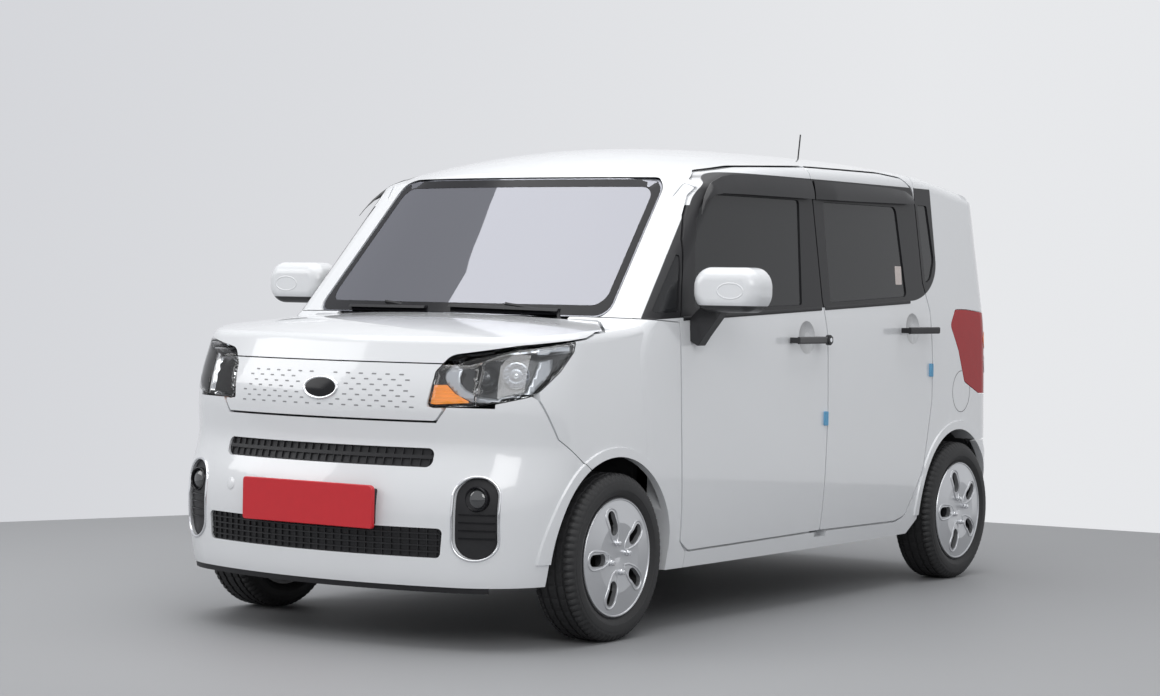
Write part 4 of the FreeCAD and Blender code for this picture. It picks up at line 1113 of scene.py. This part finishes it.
# Rear: plate blank, garnish, stop lamp, wiper, lamp inserts and reflectors
gate = surface_of("tailgate")
plate_white = finish_surface("plate_white", (0.70, 0.71, 0.71), 0.4, spread=0.03)
patch("rear_plate_blank", gate, REAR, [rounded_box(-0.260, 0.760, 0.260, 0.870, 0.008, 4)], plate_white,
      "tailgate", step=0.03, lift=0.007, thick=0.003)
spots, normals = traced_line(gate, REAR, (-0.33, 0.915), (0.33, 0.915))
sweep("rear_garnish", spots, normals, [(-0.020, -0.002), (0.020, -0.002), (0.016, 0.016), (-0.012, 0.018)],
      paint, "tailgate", closed=False)
# A black strip along the garnish where the handle recess is: painted shade.
sweep("rear_handle_recess_painted_shade", spots[6:-6], normals[6:-6],
      [(-0.026, -0.001), (-0.020, -0.001), (-0.020, 0.012), (-0.026, 0.008)], trim_black, "tailgate",
      closed=False)
spots, normals = traced_line(gate, REAR, (-0.16, 1.5260), (0.16, 1.5260))
sweep("high_stop_lamp", spots, normals, round_section(0.011, 0.008, 6), red_lens, "tailgate", closed=False)
pivot, normal, into = meet(rear_glass, REAR, 0.0, 1.150)
lathe("rear_wiper_pivot", [(0.022, -0.001), (0.022, 0.012), (0.014, 0.020), (0.0, 0.021)], pivot, normal,
      trim_black, "tailgate", segments=28)
spots, normals = traced_line(rear_glass, REAR, (0.0, 1.150), (0.330, 1.175), lift=0.010)
sweep("rear_wiper_blade", spots, normals,
      [(-0.006, -0.008), (0.006, -0.008), (0.004, 0.004), (-0.004, 0.004)], trim_black, "tailgate",
      closed=False)
tail = surface_of("tail_lamps")
clear_lens = finish_surface("clear_lens", (0.62, 0.63, 0.65), 0.12, spread=0.06, coat=0.8)
for name, z, look in (("tail_lamp_left_indicator", 0.965, amber),
                      ("tail_lamp_left_reverse", 0.865, clear_lens)):
    both_sides(patch(name, tail, REAR, [ellipse(-0.728, z, 0.024, 0.038, 36)], look, step=0.01, lift=0.002,
                     thick=0.002))
both_sides(patch("rear_reflector_left", surface_of("rear_bumper"), REAR,
                 [rounded_box(-0.66, 0.405, -0.54, 0.440, 0.012, 4)], red_lens, step=0.02, lift=0.003,
                 thick=0.003))


# Cabin: seats as padded forms, and the inner mirror
def pillow(centre, radii, lean=0.0, power=0.45, across=28, around=18):
    """Rounded stuffed block, leaning back by an angle in degrees."""
    verts = []
    c, s = math.cos(math.radians(lean)), math.sin(math.radians(lean))

    def soft(v):
        return math.copysign(abs(v) ** power, v)
    for i in range(around + 1):
        v = -math.pi / 2 + math.pi * i / around
        for k in range(across):
            u = 2 * math.pi * k / across
            x = radii[0] * soft(math.cos(v)) * soft(math.cos(u))
            y = radii[1] * soft(math.cos(v)) * soft(math.sin(u))
            z = radii[2] * soft(math.sin(v))
            verts.append(fa(centre[0] + x, centre[1] + y * c + z * s, centre[2] - y * s + z * c))
    return verts, tube_faces(around + 1, across)


def headrest_post(x, y, z, height):
    return pillow((x, y, z), (0.006, 0.006, height), 0.0, 0.9, 10, 8)


def padded_form(name, blocks, node):
    verts, faces = [], []
    for v, f in blocks:
        base = len(verts)
        verts += v
        faces += [tuple(base + i for i in q) for q in f]
    obj = finish_mesh(name, verts, faces, cloth, "body", 60.0)
    change_mesh(obj, lambda bm: bmesh.ops.remove_doubles(bm, verts=bm.verts, dist=0.00002))
    outward(obj)
    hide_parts(node)


def front_seat(place, x):
    blocks = [pillow((x, 1.125, 0.515), (0.168, 0.238, 0.062)),
              pillow((x, 1.425, 0.860), (0.168, 0.060, 0.315), 12.0),
              pillow((x, 1.478, 1.268), (0.125, 0.040, 0.074), 4.0),
              pillow((x, 1.150, 0.355), (0.190, 0.200, 0.095), 0.0, 0.25)]
    for t in (-1, 1):
        blocks.append(pillow((x + t * 0.205, 1.130, 0.522), (0.040, 0.240, 0.070)))
        blocks.append(pillow((x + t * 0.205, 1.415, 0.840), (0.040, 0.072, 0.290), 12.0))
        blocks.append(headrest_post(x + t * 0.060, 1.480, 1.185, 0.040))
    padded_form("front_seat_form_" + place, blocks, "front_seats")


front_seat("left", 0.330)
front_seat("right", -0.330)
blocks = []
for t in (-1, 1):
    blocks.append(pillow((t * 0.270, 2.100, 0.492), (0.264, 0.222, 0.068)))
    blocks.append(pillow((t * 0.270, 2.352, 0.860), (0.264, 0.058, 0.325), 10.0))
    blocks.append(pillow((t * 0.300, 2.394, 1.256), (0.120, 0.037, 0.064), 4.0))
    for q in (-1, 1):
        blocks.append(headrest_post(t * 0.300 + q * 0.060, 2.398, 1.190, 0.035))
padded_form("rear_bench_form", blocks, "rear_bench")
MIRROR_OVALS = ((0.105, 0.030, 0.632), (0.112, 0.034, 0.650), (0.110, 0.032, 0.662))
loft_rings("inner_mirror", [upright_ring(ellipse(0.0, 1.445, ru, rv, 36), y) for ru, rv, y in MIRROR_OVALS],
           trim_black)

# Studio: floor up to the foot of the wall, and the wall as background
JUNCTION = ((-9.0, -30.0), (-4.55, -3.0), (-3.73, 0.37), (-3.36, 1.26), (-1.80, 2.60), (-0.25, 3.80),
            (0.66, 3.87), (8.0, 4.60), (30.0, 6.0), (30.0, -30.0))
FLOOR_GREY = (0.33, 0.335, 0.345)
floor_paint, tree, shader = new_material("floor_paint")
shader.inputs["Roughness"].default_value = 0.6
wire(tree, mix_colour(tree, noise(tree, 0.9), shade(FLOOR_GREY, 0.97), FLOOR_GREY),
     shader.inputs["Base Color"])
mesh = bpy.data.meshes.new("studio_floor")
mesh.from_pydata([(a, b, 0) for a, b in JUNCTION], [], [tuple(range(len(JUNCTION)))[::-1]])
mesh.materials.append(floor_paint)
mesh.update()
floor = linked("studio_floor", mesh)

world = bpy.data.worlds.new("studio")
bpy.context.scene.world = world
world.use_nodes = True
tree = world.node_tree
back = tree.nodes["Background"]
back.inputs["Color"].default_value = (0.86, 0.87, 0.89, 1)
back.inputs["Strength"].default_value = 0.55
shown = tree.nodes.new("ShaderNodeBackground")
heading = tree.nodes.new("ShaderNodeSeparateXYZ")
wire(tree, tree.nodes.new("ShaderNodeTexCoord").outputs["Generated"], heading.inputs[0])
# The wall seen behind the car is darker in directions further towards -X, the left of the view: painted shade
# on the backdrop.
wall = tree.nodes.new("ShaderNodeMapRange")
wire(tree, heading.outputs[0], wall.inputs["Value"])
wall.inputs["From Min"].default_value = -0.74
wall.inputs["From Max"].default_value = -0.45
wire(tree, mix_colour(tree, wall.outputs[0], (0.66, 0.67, 0.70), (0.80, 0.81, 0.83)), shown.inputs["Color"])
shown.inputs["Strength"].default_value = 1.0
path = tree.nodes.new("ShaderNodeLightPath")
seen = math_node(tree, "ADD", path.outputs["Is Camera Ray"], path.outputs["Is Glossy Ray"])
seen = math_node(tree, "ADD", seen, path.outputs["Is Transmission Ray"])
mix_shaders(tree, math_node(tree, "MINIMUM", seen, 1.0), back, shown, "World Output")


def lamp(name, place, target, size, power):
    data = bpy.data.lights.new(name, "AREA")
    data.shape = "RECTANGLE"
    data.size, data.size_y = size
    data.energy = power
    obj = linked(name, data)
    obj.location = place
    obj.rotation_mode = "QUATERNION"
    obj.rotation_quaternion = (Vector(target) - Vector(place)).to_track_quat("-Z", "Y")


lamp("overhead", (0.0, -0.5, 5.2), (0, 0, 0), (6.0, 7.0), 230)
lamp("front_left", (5.0, -6.0, 4.0), (0, -0.5, 0.8), (4.0, 3.0), 130)
lamp("front_right", (-5.0, -5.0, 3.6), (0, -0.5, 0.8), (4.0, 3.0), 90)

# Camera
CAMERA_PLACE = (5.463, -8.2825, 1.168)
YAW, PITCH, ROLL = math.radians(34.21), math.radians(-1.3835), math.radians(0.953)
ahead = Vector((-math.sin(YAW) * math.cos(PITCH), math.cos(YAW) * math.cos(PITCH), math.sin(PITCH)))
side = Vector((math.cos(YAW), math.sin(YAW), 0.0))
up = side.cross(ahead)
right = side * math.cos(ROLL) + up * math.sin(ROLL)
up = -side * math.sin(ROLL) + up * math.cos(ROLL)
camera_data = bpy.data.cameras.new("camera")
camera_data.sensor_width = 36.0
camera_data.lens = 80.92
camera = linked("camera", camera_data)
rows = [(right[i], up[i], -ahead[i], CAMERA_PLACE[i]) for i in range(3)]
camera.matrix_world = Matrix((*rows, (0, 0, 0, 1)))
bpy.context.scene.camera = camera
bpy.context.scene.view_settings.view_transform = "Standard"
